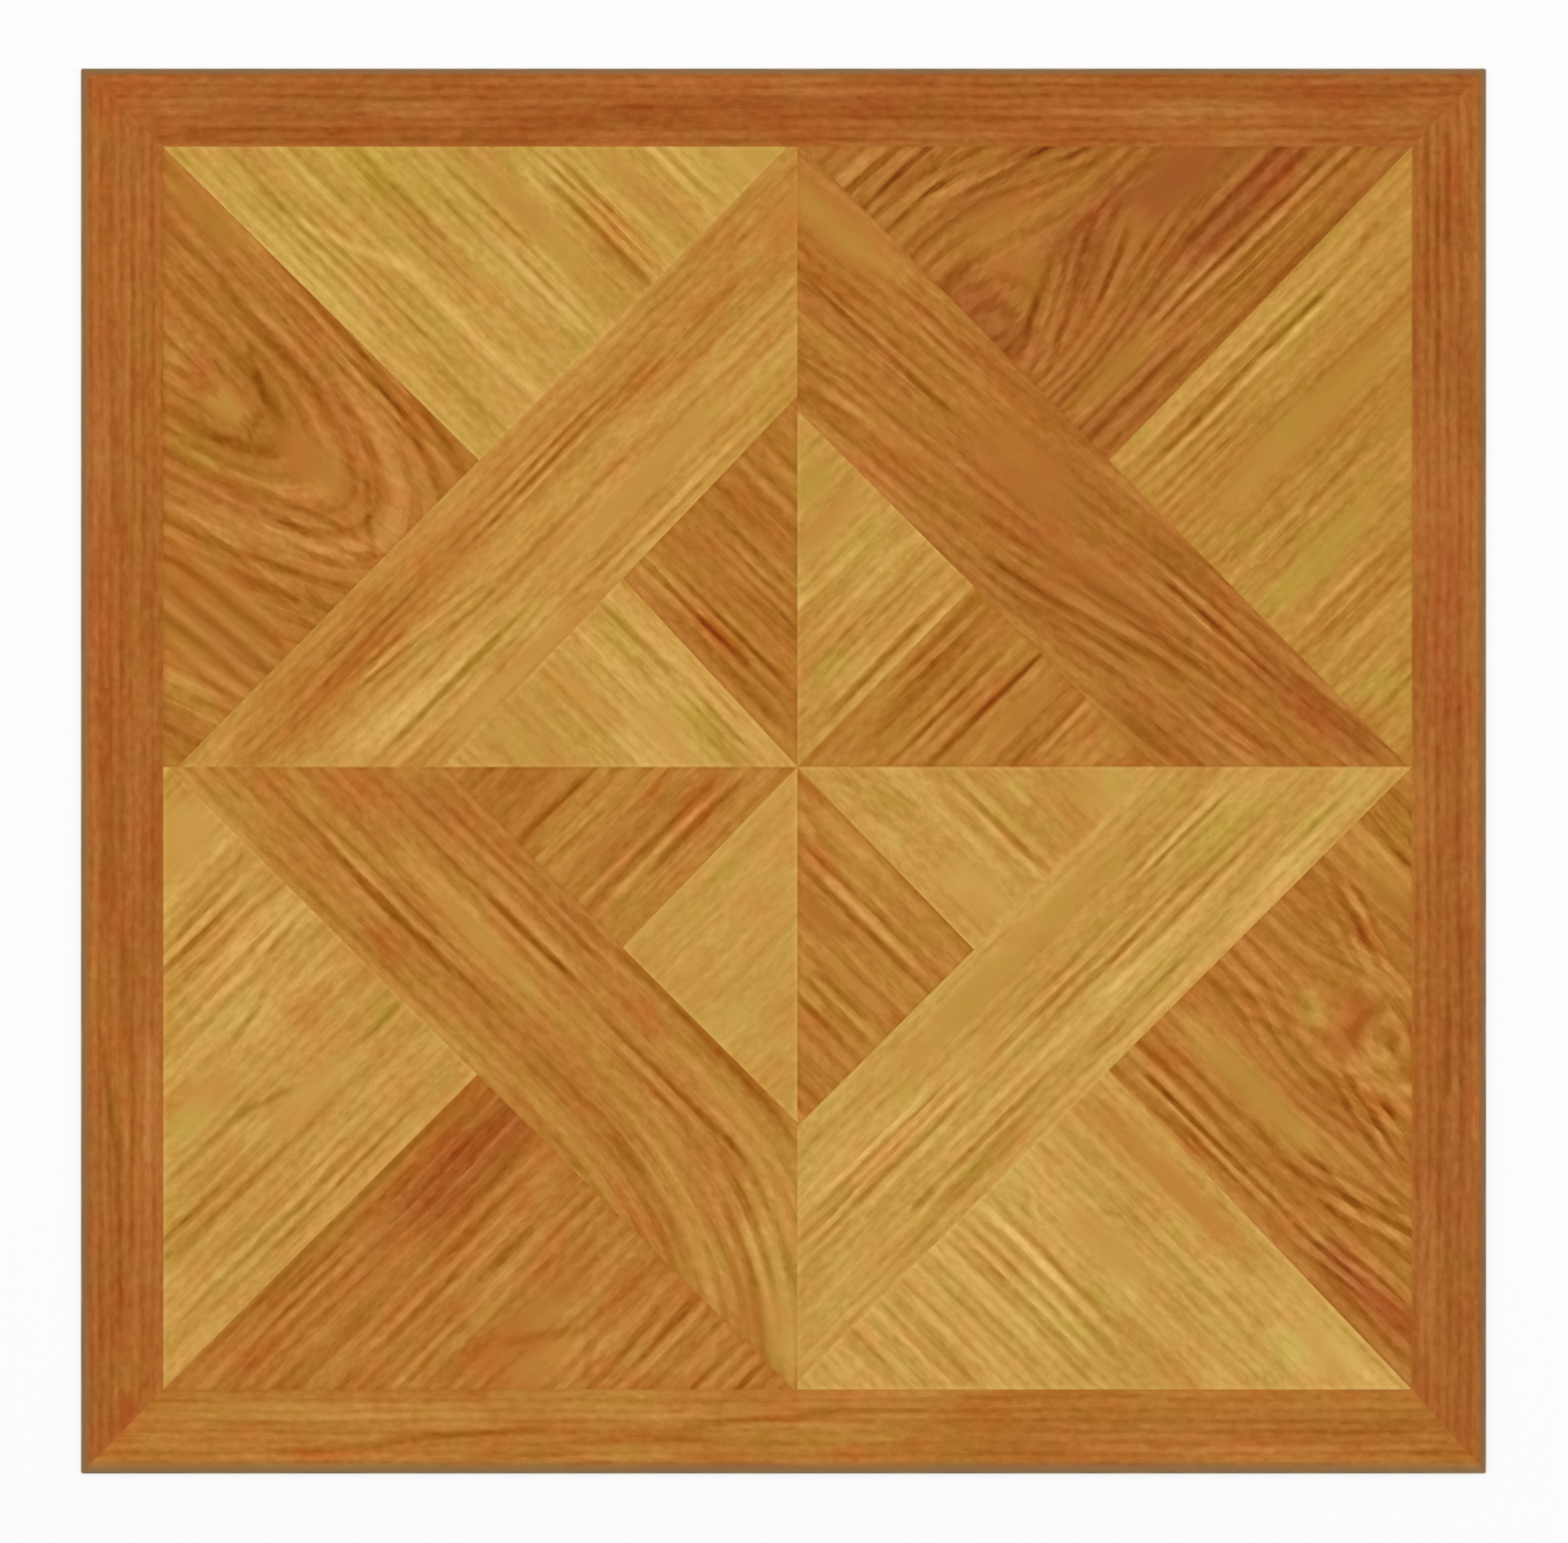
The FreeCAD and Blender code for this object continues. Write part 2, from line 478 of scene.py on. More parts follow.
class Board:
    """One printed board: its outline on the face, the field of its grain, and the ink of its figure."""

    def __init__(self, name, corners, middle, grain, level, seed, **bends):
        """Corners go anticlockwise. Places on the board are from middle, along and across the grain.

        The grain is an angle in degrees, the level the board's tone, and bends go to bend.
        """
        points = []
        for start, end in zip(corners, corners[1:] + corners[:1]):
            runs = outer_run if start.startswith("tile") and end.startswith("tile") else joint_run
            points += runs(face_points[start], face_points[end])
        self.corners = [face_points[corner].co.copy() for corner in corners]
        self.on_frame = name.startswith("frame")
        number, self.tree = new_material(name)
        self.place = millimetres(self.tree, middle, grain)
        self.level = level
        self.seed = seed
        sheet.faces.new(points).material_index = number
        self.bend(**bends)

    def bend(self, tilt=0.0, swells=(), sweep=no_sweep, arch=None):
        """Lays the field of the grain, whose lines lean by tilt.

        A swell is (at, reach, rise). The lines sweep off past a slanting line, by (start, lean, bow),
        and close to an arch round its tip, by (tip, taper, spread).
        """
        self.tilt, self.swells, self.sweep = tilt, swells, sweep
        along, across = self.place.axis("X"), self.place.axis("Y")
        start, lean, bow = sweep
        past = (along - across * lean - start).math("MAXIMUM", 0)
        line = across + along * tilt + past * past * bow
        for at, reach, rise in swells:
            line = line + spot(self.place, at, reach, rise)
        line = line + noise(self.place, (60, 22, 1), self.seed) * wide_wander
        line = line + noise(self.place, (14, 7, 1), self.seed + 1) * small_wander
        tears = noise(self.place, (9, 1.1, 1), self.seed + 2, detail=1)
        self.streak_place = flat_place(along + tears * tear_length, line + tears * tear_width)
        if arch:
            (u, v), taper, spread = arch
            past = (along - u).math("MAXIMUM", 0) * taper
            off = line - v
            line = (past * past + off * off).math("SQRT") + (along - u) * spread
        self.line_place = flat_place(along, line)
        self.drift = noise(self.line_place, (35, 6, 1), self.seed + 12) * line_drift
        self.line = line + self.drift
        half_torn = along + tears * (tear_length / 2)
        self.fine_place = flat_place(half_torn, across + tears * tear_width + self.drift * 0.5)
        breaks = smooth_step(noise(self.line_place, (34, 2.6, 1), self.seed + 13), -0.14, 0.12, 0.6, 1.25)
        flecks = smooth_step(noise(self.line_place, (4.5, 1.2, 1), self.seed + 14), -0.12, 0.12, 0.7, 1.3)
        self.broken = breaks * flecks

    def line_at(self, u, v):
        """Which grain line passes this place."""
        start, lean, bow = self.sweep
        line = v + self.tilt * u + bow * max(0, u - v * lean - start) ** 2
        for at, reach, rise in self.swells:
            line += spot_number(u, v, at, reach, rise)
        return line

    def grain_lines(self, line, pitch, depth):
        """Dark lines of late wood at this pitch in millimetres, with paler wood between them."""
        wave = (line * (2 * math.pi / pitch)).math("COSINE")
        return (late_wood_share - smooth_step(wave, *late_wood_edge, 0, 1)) * self.broken * depth

    def line_group(self, at, reach, slope, pitch, depth):
        """A group of dark lines in one patch, at a slope of their own, or along the grain at None."""
        line = self.line
        if slope is not None:
            line = from_spot(self.fine_place, at, slope).axis("Y") + self.drift
        patch = spot(self.place, at, reach, group_gain, group_core, slope or 0)
        return patch * self.grain_lines(line, pitch, depth)

    def knot(self, at, reach, pitch, depth):
        """Dark rings round a knot, drawn out along the grain as far as its reach."""
        away = from_spot(self.fine_place, at, 0, (reach[0] / reach[1], 1)).vector("LENGTH") + self.drift
        away = away + noise(self.place, (12, 9, 1), self.seed + 16, detail=1) * knot_unevenness
        return spot(self.place, at, reach, knot_gain, knot_core) * self.grain_lines(away, pitch, depth)

    def streak(self, start, end, across, width, change, slope=None):
        """A drawn streak, at a slope of its own, or along the grain if it has none."""
        along = (start + end) / 2
        reach = ((end - start) * streak_half_length, width * streak_half_width)
        if slope is None:
            return stroke(self.streak_place, (along, self.line_at(along, across)), reach, change)
        return stroke(self.fine_place, (along, across), reach, change, slope)

    def plain_figure(self, lines, rings, fibre, pores):
        """The figure all over the board: grain lines, wide rings, fibre, mottle and dark pores."""
        wide_rings = noise(self.line_place, (45, 4.5, 1), self.seed + 5, detail=1)
        figure = self.grain_lines(self.line, *lines) + wide_rings * rings * ring_gain
        figure = figure + noise(self.line_place, (18, 1.8, 1), self.seed + 6) * fibre * fibre_gain
        figure = figure + noise(self.place, (2.1, 1.2, 1), self.seed + 7) * fibre * mottle_gain
        dashes = noise(self.line_place, (7, 1, 1), self.seed + 8, detail=1)
        return figure - smooth_step(dashes, 0.1, 0.24, 0, pores)

    def redness(self, shade, shades):
        """How red the ink is: green at -1, plain at 0, red at 1 and deep red at 2."""
        redness = shade + noise(self.line_place, (40, 10, 1), self.seed + 9) * red_cloud_gain
        flush = flush_on_dark if self.level < dark_board_level else flush_on_pale
        redness = redness + noise(self.place, (9, 8, 1), self.seed + 15, detail=1) * flush
        for at, reach, change in shades:
            redness = redness + spot(self.place, at, reach, change)
        return redness

    def from_sides(self):
        """How far a place is from each side of the board in turn, in millimetres."""
        place = millimetres(self.tree)
        away = []
        for start, end in zip(self.corners, self.corners[1:] + self.corners[:1]):
            run = (end - start).normalized()
            inward = Vector((-run.y, run.x, 0))
            away.append(place.vector("DOT_PRODUCT", inward) - inward.dot(start) / MM)
        return away

    def ink(self, streaks, shades=(), groups=(), calm=(), knots=(), lines=(2.6, 7), rings=7, fibre=7,
            pores=8, clouds=5, shade=0.0, rim=0, fringe=1.5):
        """Prints the figure. A change is in ink levels, darker below 0 and paler above it.

        A streak is (from, to, across, width, change) and its slope where it leaves the grain, a shade
        (at, reach, redness), a group (at, reach, slope, pitch, depth), a calm patch (at, reach, share
        of the figure lost) and a knot (at, reach, pitch, depth). lines is the pitch and depth of the
        grain lines. rings, fibre, pores and clouds are the strengths of wide rings, fine fibre, dark
        pores and large clouds. shade is the whole board's redness, rim a change beside its joints,
        and fringe how far in the print of a frame strip is stretched, in millimetres.
        """
        figure = self.plain_figure(lines, rings, fibre, pores)
        for at, reach, share in calm:
            figure = figure * (1 - spot(self.place, at, reach, share, calm_core))
        level = self.level + noise(self.line_place, (70, 12, 1), self.seed + 3) * clouds * wide_cloud_gain
        level = level + noise(self.line_place, (14, 6, 1), self.seed + 4) * clouds * small_cloud_gain
        for group in groups:
            figure = figure + self.line_group(*group)
        for knot in knots:
            figure = figure + self.knot(*knot)
        for start, end, across, width, *change_and_slope in streaks:
            streak = self.streak(start, end, across, width, *change_and_slope)
            if width < broad_streak:
                figure = figure + streak
            else:
                level = level + streak
        sides = self.from_sides()
        if rim:
            nearest = sides[0]
            for side in sides[1:]:
                nearest = nearest.math("MINIMUM", side)
            figure = figure + smooth_step(nearest, 0, joint_rim_width, rim, 0)
        paint = ramp_colour(level * (1 / levels), ink_stops)
        tint = ramp_colour((self.redness(shade, shades) + 1) * (1 / shade_steps), shade_stops)
        paint = lay_over(paint, tint, 1.0, "MULTIPLY")
        paint = shift_inks(paint, figure * (1 / levels))
        if self.on_frame:
            stretched = smooth_step(sides[0], fringe_start, fringe, fringe_cover, 0)
            paint = lay_over(paint, stretched_print, stretched)
        ticks = noise(self.line_place, (4, 0.3, 1), self.seed + 10)
        touch = noise(self.place, (1.6, 1.6, 1), self.seed + 11)
        relief = smooth_step(ticks, 0.03, 0.2, 0, -1) + touch * 0.6
        finish_surface(self.tree, paint, wear_roughness + touch * 0.12 + ticks * 0.08, relief, tick_depth)


# The frame: four strips mitred at the tile's corners, in the reddest and plainest ink, with
# the grain along each strip. The die has cut the print a little off centre.
frame_figure = {"lines": (2.3, 8), "rings": 5, "fibre": 7, "pores": 6, "clouds": 3}

board = Board("frame_top", ("tile_tr", "tile_tl", "field_tl", "field_tr"),
              middle=(0, 143.9), grain=0, level=110, seed=100)
board.ink(streaks=(
    (-132, -90, -5, 1.3, -9), (-130, -84, -1.2, 1, -9), (-110, -60, 2.4, 1, -7), (-92, -72, 0.5, 2, 8),
    (-70, -58, -6, 2, -7), (-60, 10, 5.5, 2, 5), (-60, 0, -3.5, 1.2, -7), (-20, 40, 1.2, 1, -8),
    (10, 70, -2.2, 1, -8), (0, 30, 3.2, 1.3, 7), (20, 60, -6, 2, 5), (78, 112, 0, 1.8, 9),
    (60, 130, -4, 1.2, -7), (100, 136, 3, 2.4, -6), (40, 90, 4.5, 1, -6),
), shades=(
    ((-145, 4), (10, 7), 1.6), ((-82, 1), (12, 3), -1), ((-84, -4), (12, 2.5), 0.9),
    ((95, 0), (20, 3), -1), ((118, 3), (14, 5), 1), ((145, 2), (6, 10), 0.5),
), shade=0.35, **frame_figure)

board = Board("frame_right", ("tile_br", "tile_tr", "field_tr", "field_br"),
              middle=(144.3, 0), grain=90, level=112, seed=120)
board.ink(streaks=(
    (-125, -85, 5, 2.2, 6), (-100, -58, 1.5, 1.1, -9, -0.03), (-72, -50, 0.5, 1.1, -10),
    (-90, -30, -3, 1.1, -7), (-80, -58, -5, 1.2, 7), (-40, 10, 2, 1.2, -8), (-20, 40, -2.5, 1.2, -7),
    (10, 70, 1, 5, -4), (78, 128, 2.4, 1, -14), (98, 140, 4.6, 1, -12), (112, 140, 0.4, 1, -14),
    (60, 110, -3.5, 1.4, -6), (90, 130, 1.2, 0.9, 6), (-130, -90, 0, 1, -7),
), shades=(
    ((-148, 0), (7, 10), 1), ((35, 1), (34, 6), 1.1), ((-100, 3), (40, 7), -0.4),
    ((-68, -5), (12, 2), 0.7), ((128, -1), (14, 3), 1), ((88, 0), (16, 6), -0.3),
), shade=0.25, **frame_figure)

board = Board("frame_bottom", ("tile_bl", "tile_br", "field_br", "field_bl"),
              middle=(0, -143.3), grain=0, level=133, seed=140)
board.ink(streaks=(
    (-112, -84, -3.7, 1.1, -15, 0.05), (-88, -50, -0.5, 1.1, -18, 0.07), (-46, -16, -1.3, 1.1, -13),
    (-22, 12, 2.6, 1.2, -18, 0.08), (4, 32, 4.5, 1, -9), (-124, -74, -5.3, 1.6, 9),
    (-44, -24, -5, 1.8, 11), (4, 24, -1, 2, 6), (-140, -60, 4, 4, 6), (-125, -95, 1.5, 1, -8),
    (-60, -20, 4, 2, 5), (36, 160, 0, 9, -10), (34, 80, 8, 1.1, -10), (100, 132, 8, 1.1, -9),
    (60, 120, -4, 1.6, 7), (20, 60, 1.5, 1.2, -6), (60, 110, 3, 1.1, -6), (120, 148, -5, 1, -8),
), shades=(
    ((-146, -1), (10, 8), 1), ((-98, -5), (26, 2.5), 1.3), ((-34, -5), (10, 3), -1.5),
    ((12, -1), (12, 3), -1), ((13, -5), (10, 2.5), 1.2), ((-30, -1), (16, 2), 0.7),
    ((0, 3), (18, 2), 0.8), ((90, -3), (40, 3), 0.4), ((132, 4), (10, 4), -0.7),
    ((-120, 3), (16, 4), -0.4),
), shade=0.3, fringe=2.8, **frame_figure)

board = Board("frame_left", ("tile_tl", "tile_bl", "field_bl", "field_tl"),
              middle=(-143.5, 0), grain=90, level=114, seed=160)
board.ink(streaks=(
    (-144, -134, -1.5, 2.4, -9), (-120, -84, 0.6, 1, -13), (-110, -60, -2.6, 1, -8),
    (-86, -58, 2.4, 1, -14, 0.13), (-84, -60, 0, 1.1, 8, 0.1), (-62, -34, -1, 1.1, -13, 0.04),
    (-60, -30, 1.6, 1, 7), (-112, -56, -6, 2, 10), (-40, 20, 3.5, 1.1, -8), (-20, 60, -0.5, 1.1, -8),
    (20, 90, -5.5, 1.6, -6), (50, 80, 1, 1, -10), (70, 130, -2.5, 1.1, -7), (90, 140, 3, 1.1, -6),
    (0, 50, 5.5, 1.2, -5),
), shades=(
    ((-141, -1), (10, 5), 1.3), ((-75, 2), (14, 3), -1.1), ((-75, -6), (20, 3), -0.7),
    ((30, 3), (40, 5), 0.8), ((146, 3), (7, 6), 1.3), ((95, -5), (20, 3), -0.5),
), shade=0.45, fringe=2, **frame_figure)

# The top left quarter: a pale rift-sawn triangle over a darker flat-sawn one with an arch,
# a golden band, and a dark and a pale triangle toward the centre.
board = Board("tl_upper", ("field_tl", "tl_outer_meet", "tl_outer_end"),
              middle=(-66, 113), grain=-45, level=155, seed=200)
board.ink(streaks=(
    (-50, 30, -30.5, 1, 9), (-45, -25, -24, 2, -7), (-12, 6, -22, 2, -7), (8, 30, -24.5, 2.2, -8),
    (-36, 2, -18.5, 2, -9), (-14, 34, -13, 1.5, 25), (-38, -6, -19.5, 1.4, 18, 0.4),
    (-50, 26, -14.5, 1.2, 8), (-48, -6, -9.5, 2.5, 6), (-30, -18, -6.5, 0.9, -12),
    (-42, -6, -4, 0.9, -9), (-22, 8, 5, 1.2, 9), (4, 30, 3.5, 1.3, 11), (-20, 20, 2.2, 0.8, -8),
    (-18, 4, 8, 1, -8), (10, 22, 8, 1.8, 6), (-8, 8, 12.5, 3.5, -3), (-6, 4, 18.5, 1.4, 9),
    (-4, 4, 19.7, 0.8, -13), (-2, 32, 20.8, 1.4, -15), (18, 32, 19.8, 2.2, -12), (-4, 12, 24, 1, 8),
    (-2, 30, 26, 1, -12), (8, 22, 27.3, 1, 8), (0, 36, 23, 5, -10), (6, 20, 38, 1.2, -8),
    (6, 30, 42, 1.1, 10), (8, 30, 43.8, 0.9, -12), (10, 30, 45.5, 1.1, 9),
), shades=(
    ((-30, -5), (34, 26), -0.6), ((18, 23), (20, 9), 1), ((24, 43), (8, 5), -0.6),
    ((14, 34), (14, 5), 0.4), ((-20, -18.5), (20, 4), 0.4), ((20, 0), (18, 10), 0.3),
), groups=(
    ((-8, -24), (44, 6), 0, 2.7, 8), ((-14, -6), (32, 5), 0, 2.7, 8), ((4, 5), (26, 5), 0, 3.2, 8),
    ((13, 24), (22, 6), 0, 2.9, 13), ((14, 43), (18, 6), 0, 2.9, 10),
), calm=(
    ((4, 13), (28, 4), 0.8), ((24, 56), (14, 8), 0.9), ((10, 33), (24, 4), 0.5),
), shade=-0.15, rim=7)

board = Board("tl_left", ("field_l", "tl_outer_side", "tl_outer_meet", "field_tl"),
              middle=(-108, 68), grain=-45, level=127, seed=220,
              tilt=-0.1, arch=((-20, 1), 0.33, 0.15))
board.ink(streaks=(
    (-62, -32, 26, 4, 10), (-50, -14, 17, 1.1, 12), (-45, 10, 15, 1.1, -12), (-25, -14, 24, 2.5, -7),
    (-10, 28, 25.5, 2, -8), (-4, 28, 19, 1.1, 7), (2, 26, 12.5, 1.3, 6), (0, 24, 8.3, 1.1, -9),
    (-21, -12, -1, 5, 15), (-24, -9, 8, 1.1, -18, -0.5), (-13.5, -6, 0.5, 1.1, -16, -2.5),
    (-16, -8, -6.5, 1, -12, 0.9), (-33, -27, -1, 1.6, 11), (-31, -25, 0, 5, -6),
    (14, 24, 6, 1.1, -17, -0.9), (20, 30, 1, 1.1, -17, -0.8), (22, 30, -3.5, 0.9, -12, 0.8),
    (14, 22, -5, 0.9, -10, 0.6), (8, 18, 1, 3, 6), (-22, -8, -13, 4, 8), (23, 28, -17, 1.4, -14),
    (-2, 30, -21, 1, 10, 0.12), (-4, 30, -24, 1.1, -12, 0.12), (-6, 30, -28, 1.1, 12, 0.1),
    (-5, 32, -31, 1.4, -18, 0.1), (4, 30, -34, 1, 10, 0.08), (0, 32, -36.3, 1.3, -15, 0.1),
    (0, 32, -39.5, 1.1, 12, 0.08), (3, 32, -41.6, 1.2, -14, 0.08), (10, 32, -44, 1.1, 10, 0.1),
    (8, 32, -46.4, 1.1, -12, 0.1), (14, 32, -51, 4, 10), (18, 32, -60, 4, -4),
), shades=(
    ((-50, 25), (16, 6), -0.8), ((-20, 12), (7, 6), -0.8), ((8, 11), (20, 4), 0.8),
    ((-27, 0), (5, 8), 0.9), ((-14, -13), (10, 6), -0.9), ((24, -52), (10, 6), -0.6),
    ((0, -30), (10, 8), 0.5),
), groups=(
    ((0, 25), (36, 5), 0, 2.7, 11), ((12, -9), (22, 8), 0.35, 3.9, 12),
    ((12, -22), (22, 5), 0.13, 3.6, 7),
), calm=(
    ((-17, -1), (8, 6), 1), ((4, 3), (15, 6), 0.9), ((-50, 25), (16, 5), 0.8),
    ((14, -36), (24, 16), 0.8),
), rings=9, lines=(4.2, 15), shade=0.1, rim=-6)

board = Board("tl_band", (
    "tl_outer_side", "tl_inner_side", "tl_inner_end", "field_t", "tl_outer_end", "tl_outer_meet",
), middle=(-45, 50), grain=45, level=150, seed=240)
board.ink(streaks=(
    (-100, 100, 19, 10, -13), (-95, 0, 13, 6, -5), (-74, -8, -2, 4.5, 8, -0.2), (-60, -46, 22, 1, 12),
    (-36, -26, 21, 1.4, 8), (-56, -48, 20.5, 0.8, -10), (-90, -78, 23, 1, 8), (28, 44, 16.5, 1, -16),
    (28, 42, 14, 1, -16), (-4, 22, 16.5, 0.9, -11), (-4, 22, 14.6, 0.9, 9), (-4, 20, 12.6, 0.9, -9),
    (30, 62, 10, 2, -5), (-54, -30, 8, 1.1, -14, -0.12), (-52, -30, 10, 0.9, 9, -0.12),
    (-42, 28, 5.4, 1.1, -14), (50, 78, 5.2, 1, -13), (0, 60, 7.6, 1, 8), (-66, -44, 2, 3, 10),
    (-60, -24, -2.8, 1.3, -15), (-64, -30, -6.3, 1.5, 18), (-58, -8, 0.5, 1.2, 9),
    (-50, -10, -11, 3, 6), (-2, 48, 0, 3.5, 3), (-6, 46, -6.2, 1.1, -13), (0, 40, -8.2, 0.9, 7),
    (-2, 14, -10.3, 0.9, -10), (0, 44, -12.6, 0.9, 10), (64, 76, 16, 2.5, 6),
), shades=(
    ((-60, 18), (40, 9), 0.6), ((10, 17), (30, 6), 0.3), ((36, 14), (10, 4), 1.2),
    ((-55, -2), (16, 5), -0.5), ((-30, -3), (12, 4), -0.9), ((30, -2), (40, 6), -0.6),
    ((69, 16), (7, 4), -1.2), ((86, 14), (12, 8), 0.5), ((50, 9), (16, 3), 0.6),
), groups=(
    ((-55, 17), (40, 8), 0, 2.4, 10), ((5, 16), (30, 6), 0, 2.2, 11),
    ((-38, 9), (26, 5), -0.12, 2.5, 12), ((-40, -3), (28, 5), 0, 3.5, 9),
    ((20, -8), (34, 4), 0, 2.4, 9), ((50, 12), (28, 6), 0, 2.5, 9),
), calm=(
    ((20, -1), (40, 4), 0.9), ((-30, -11), (30, 3), 0.8), ((86, 14), (12, 10), 0.9),
), rings=6, shade=0.3, rim=4)

board = Board("tl_inner_right", ("centre", "tl_inner_end", "tl_inner_meet"),
              middle=(-12, 40), grain=-45, level=131, seed=260)
board.ink(streaks=(
    (-18, -6, 28, 1.2, -15), (-14, 2, 25, 2, 5), (-18, 2, 20, 1.2, -7), (-14, 4, 16.5, 2.5, -5),
    (-18, 10, 11, 1.5, -6), (-4, 12, 7.5, 1, 9), (-10, 14, 4.6, 1, 10), (4, 18, 2.4, 1, -12),
    (-8, 24, -5.5, 1, -9), (-10, 2, -8.5, 0.9, 8), (0, 16, -8.8, 1.6, -18), (-6, 24, -11, 1, -9),
    (-12, 30, -13.5, 1.2, -12),
), shades=(
    ((-5, 16), (14, 6), 0.9), ((6, -9), (18, 4), 1.4), ((6, 6), (10, 4), -0.5),
), groups=(
    ((-4, 14), (22, 12), 0, 4.7, 9), ((2, 4), (22, 4), 0, 2.5, 12), ((4, -9), (30, 6), 0, 3, 14),
), lines=(3.2, 7), shade=-0.1, rim=-8)

board = Board("tl_inner_left", ("centre", "tl_inner_meet", "tl_inner_side"),
              middle=(-36, 16), grain=-45, level=157, seed=280)
board.ink(streaks=(
    (-15, 35, 15.2, 1.3, 7), (-15, 4, 12.3, 1, -12), (12, 26, 12, 1.4, -8), (-15, 14, 9.5, 1.3, 7),
    (-4, 3, 8.8, 0.9, -10), (-16, 8, 5.5, 1.4, 6), (-16, 6, 3, 0.9, 12), (-16, 6, 1.3, 0.9, -12),
    (-16, 6, -5, 3, -8), (-16, 4, -11.5, 1.2, -8), (4, 16, -5.5, 3, 10), (-16, -2, -16.5, 2, -6),
), shades=(
    ((15, 9), (12, 5), -0.9), ((-8, 10), (9, 4), -0.6), ((-8, -6), (14, 5), 0.6),
    ((10, -5), (8, 4), 0.4),
), groups=(
    ((-6, 12), (18, 4), 0, 2.9, 12), ((16, 13), (16, 4), -0.05, 2.6, 9), ((-6, 3), (16, 4), 0, 3.4, 9),
    ((-6, -8), (14, 6), 0, 5.5, 6),
), calm=(
    ((10, 2), (14, 5), 0.8), ((-6, -5), (16, 5), 0.6), ((0, -20), (20, 8), 0.6),
), shade=0.1, rim=9)

# The top right quarter: a dark triangle with a knot over a golden-green one, a red-brown
# band, and a golden and a brown triangle toward the centre.
board = Board("tr_upper", ("tr_outer_meet", "field_tr", "tr_outer_end"),
              middle=(70, 113), grain=45, level=118, seed=300,
              swells=(((-28, 26), (46, 24), -10), ((-28, -6), (46, 20), 10)))
board.ink(streaks=(
    (-32, -14, 52.5, 1, 10), (-32, -10, 49.5, 1.1, 9), (-32, -12, 47.3, 1, -10),
    (-30, -10, 44.5, 1.1, 11), (-28, -10, 42, 1.3, -13, -0.08), (-32, -12, 38.8, 1.8, 9),
    (-18, -2, 36, 1.2, -12, -0.2), (-22, -6, 33.5, 1.2, 9, -0.3), (0, 14, 25, 1.1, -12, -0.45),
    (-2, 12, 22.5, 1, 9, -0.45), (5, 14, 20, 1.1, -12, -0.45), (-36, -22, 8, 4.5, -12),
    (-10, 14, 8, 5, -12), (4, 20, 6.5, 1, 8, -0.3), (10, 52, 0, 8, -17), (-30, -14, 0, 1, 9, 0.6),
    (-24, 0, 3, 1, 9, 0.5), (-22, 2, 0.5, 1.1, -9, 0.5), (-2, 18, -7, 1.2, 9, 0.2),
    (12, 46, -11, 1.3, -13), (14, 48, -15, 1.4, -12), (10, 50, -13, 4.5, -13), (-4, 16, -18, 1.1, 10),
    (0, 36, -21, 1.1, 11, -0.03), (2, 34, -23, 1, -11, -0.03), (26, 52, -24.5, 1.1, 8),
    (-32, -2, -20, 6, 13), (-8, 62, -26, 6, 8), (-32, 0, -27.5, 1.2, -13), (-26, -10, -29, 1, 7),
), shades=(
    ((30, -14), (26, 6), 0.7), ((20, -26), (36, 6), -0.4), ((25, 0), (24, 6), 0.6), ((4, 8), (9, 5), 1),
    ((-22, 13), (8, 6), 0.6), ((-16, -21), (14, 5), -0.9), ((6, 22), (8, 5), -0.6),
    ((-28, 40), (8, 14), -0.4),
), groups=(
    ((-20, 44), (22, 12), -0.06, 4.2, 14), ((-6, 32), (20, 8), -0.32, 3.6, 12),
    ((3, 23), (16, 7), -0.45, 3.4, 11), ((-18, -1), (18, 8), 0.5, 3.6, 11),
    ((-2, 0), (16, 7), 0.45, 3.6, 9), ((8, -8), (20, 4), 0.15, 3.2, 8),
    ((22, -22), (40, 6), -0.02, 2.9, 13), ((-14, -26), (22, 5), 0, 2.9, 10),
), calm=(
    ((20, 0), (26, 8), 1), ((-12, 22), (14, 6), 0.7), ((-16, -20), (14, 5), 0.7),
    ((-22, 10), (16, 8), 0.8),
), knots=(
    ((-30, 8), (17, 12), 3.6, 12),
), rings=9, lines=(3.8, 13), shade=-0.15, rim=-5)

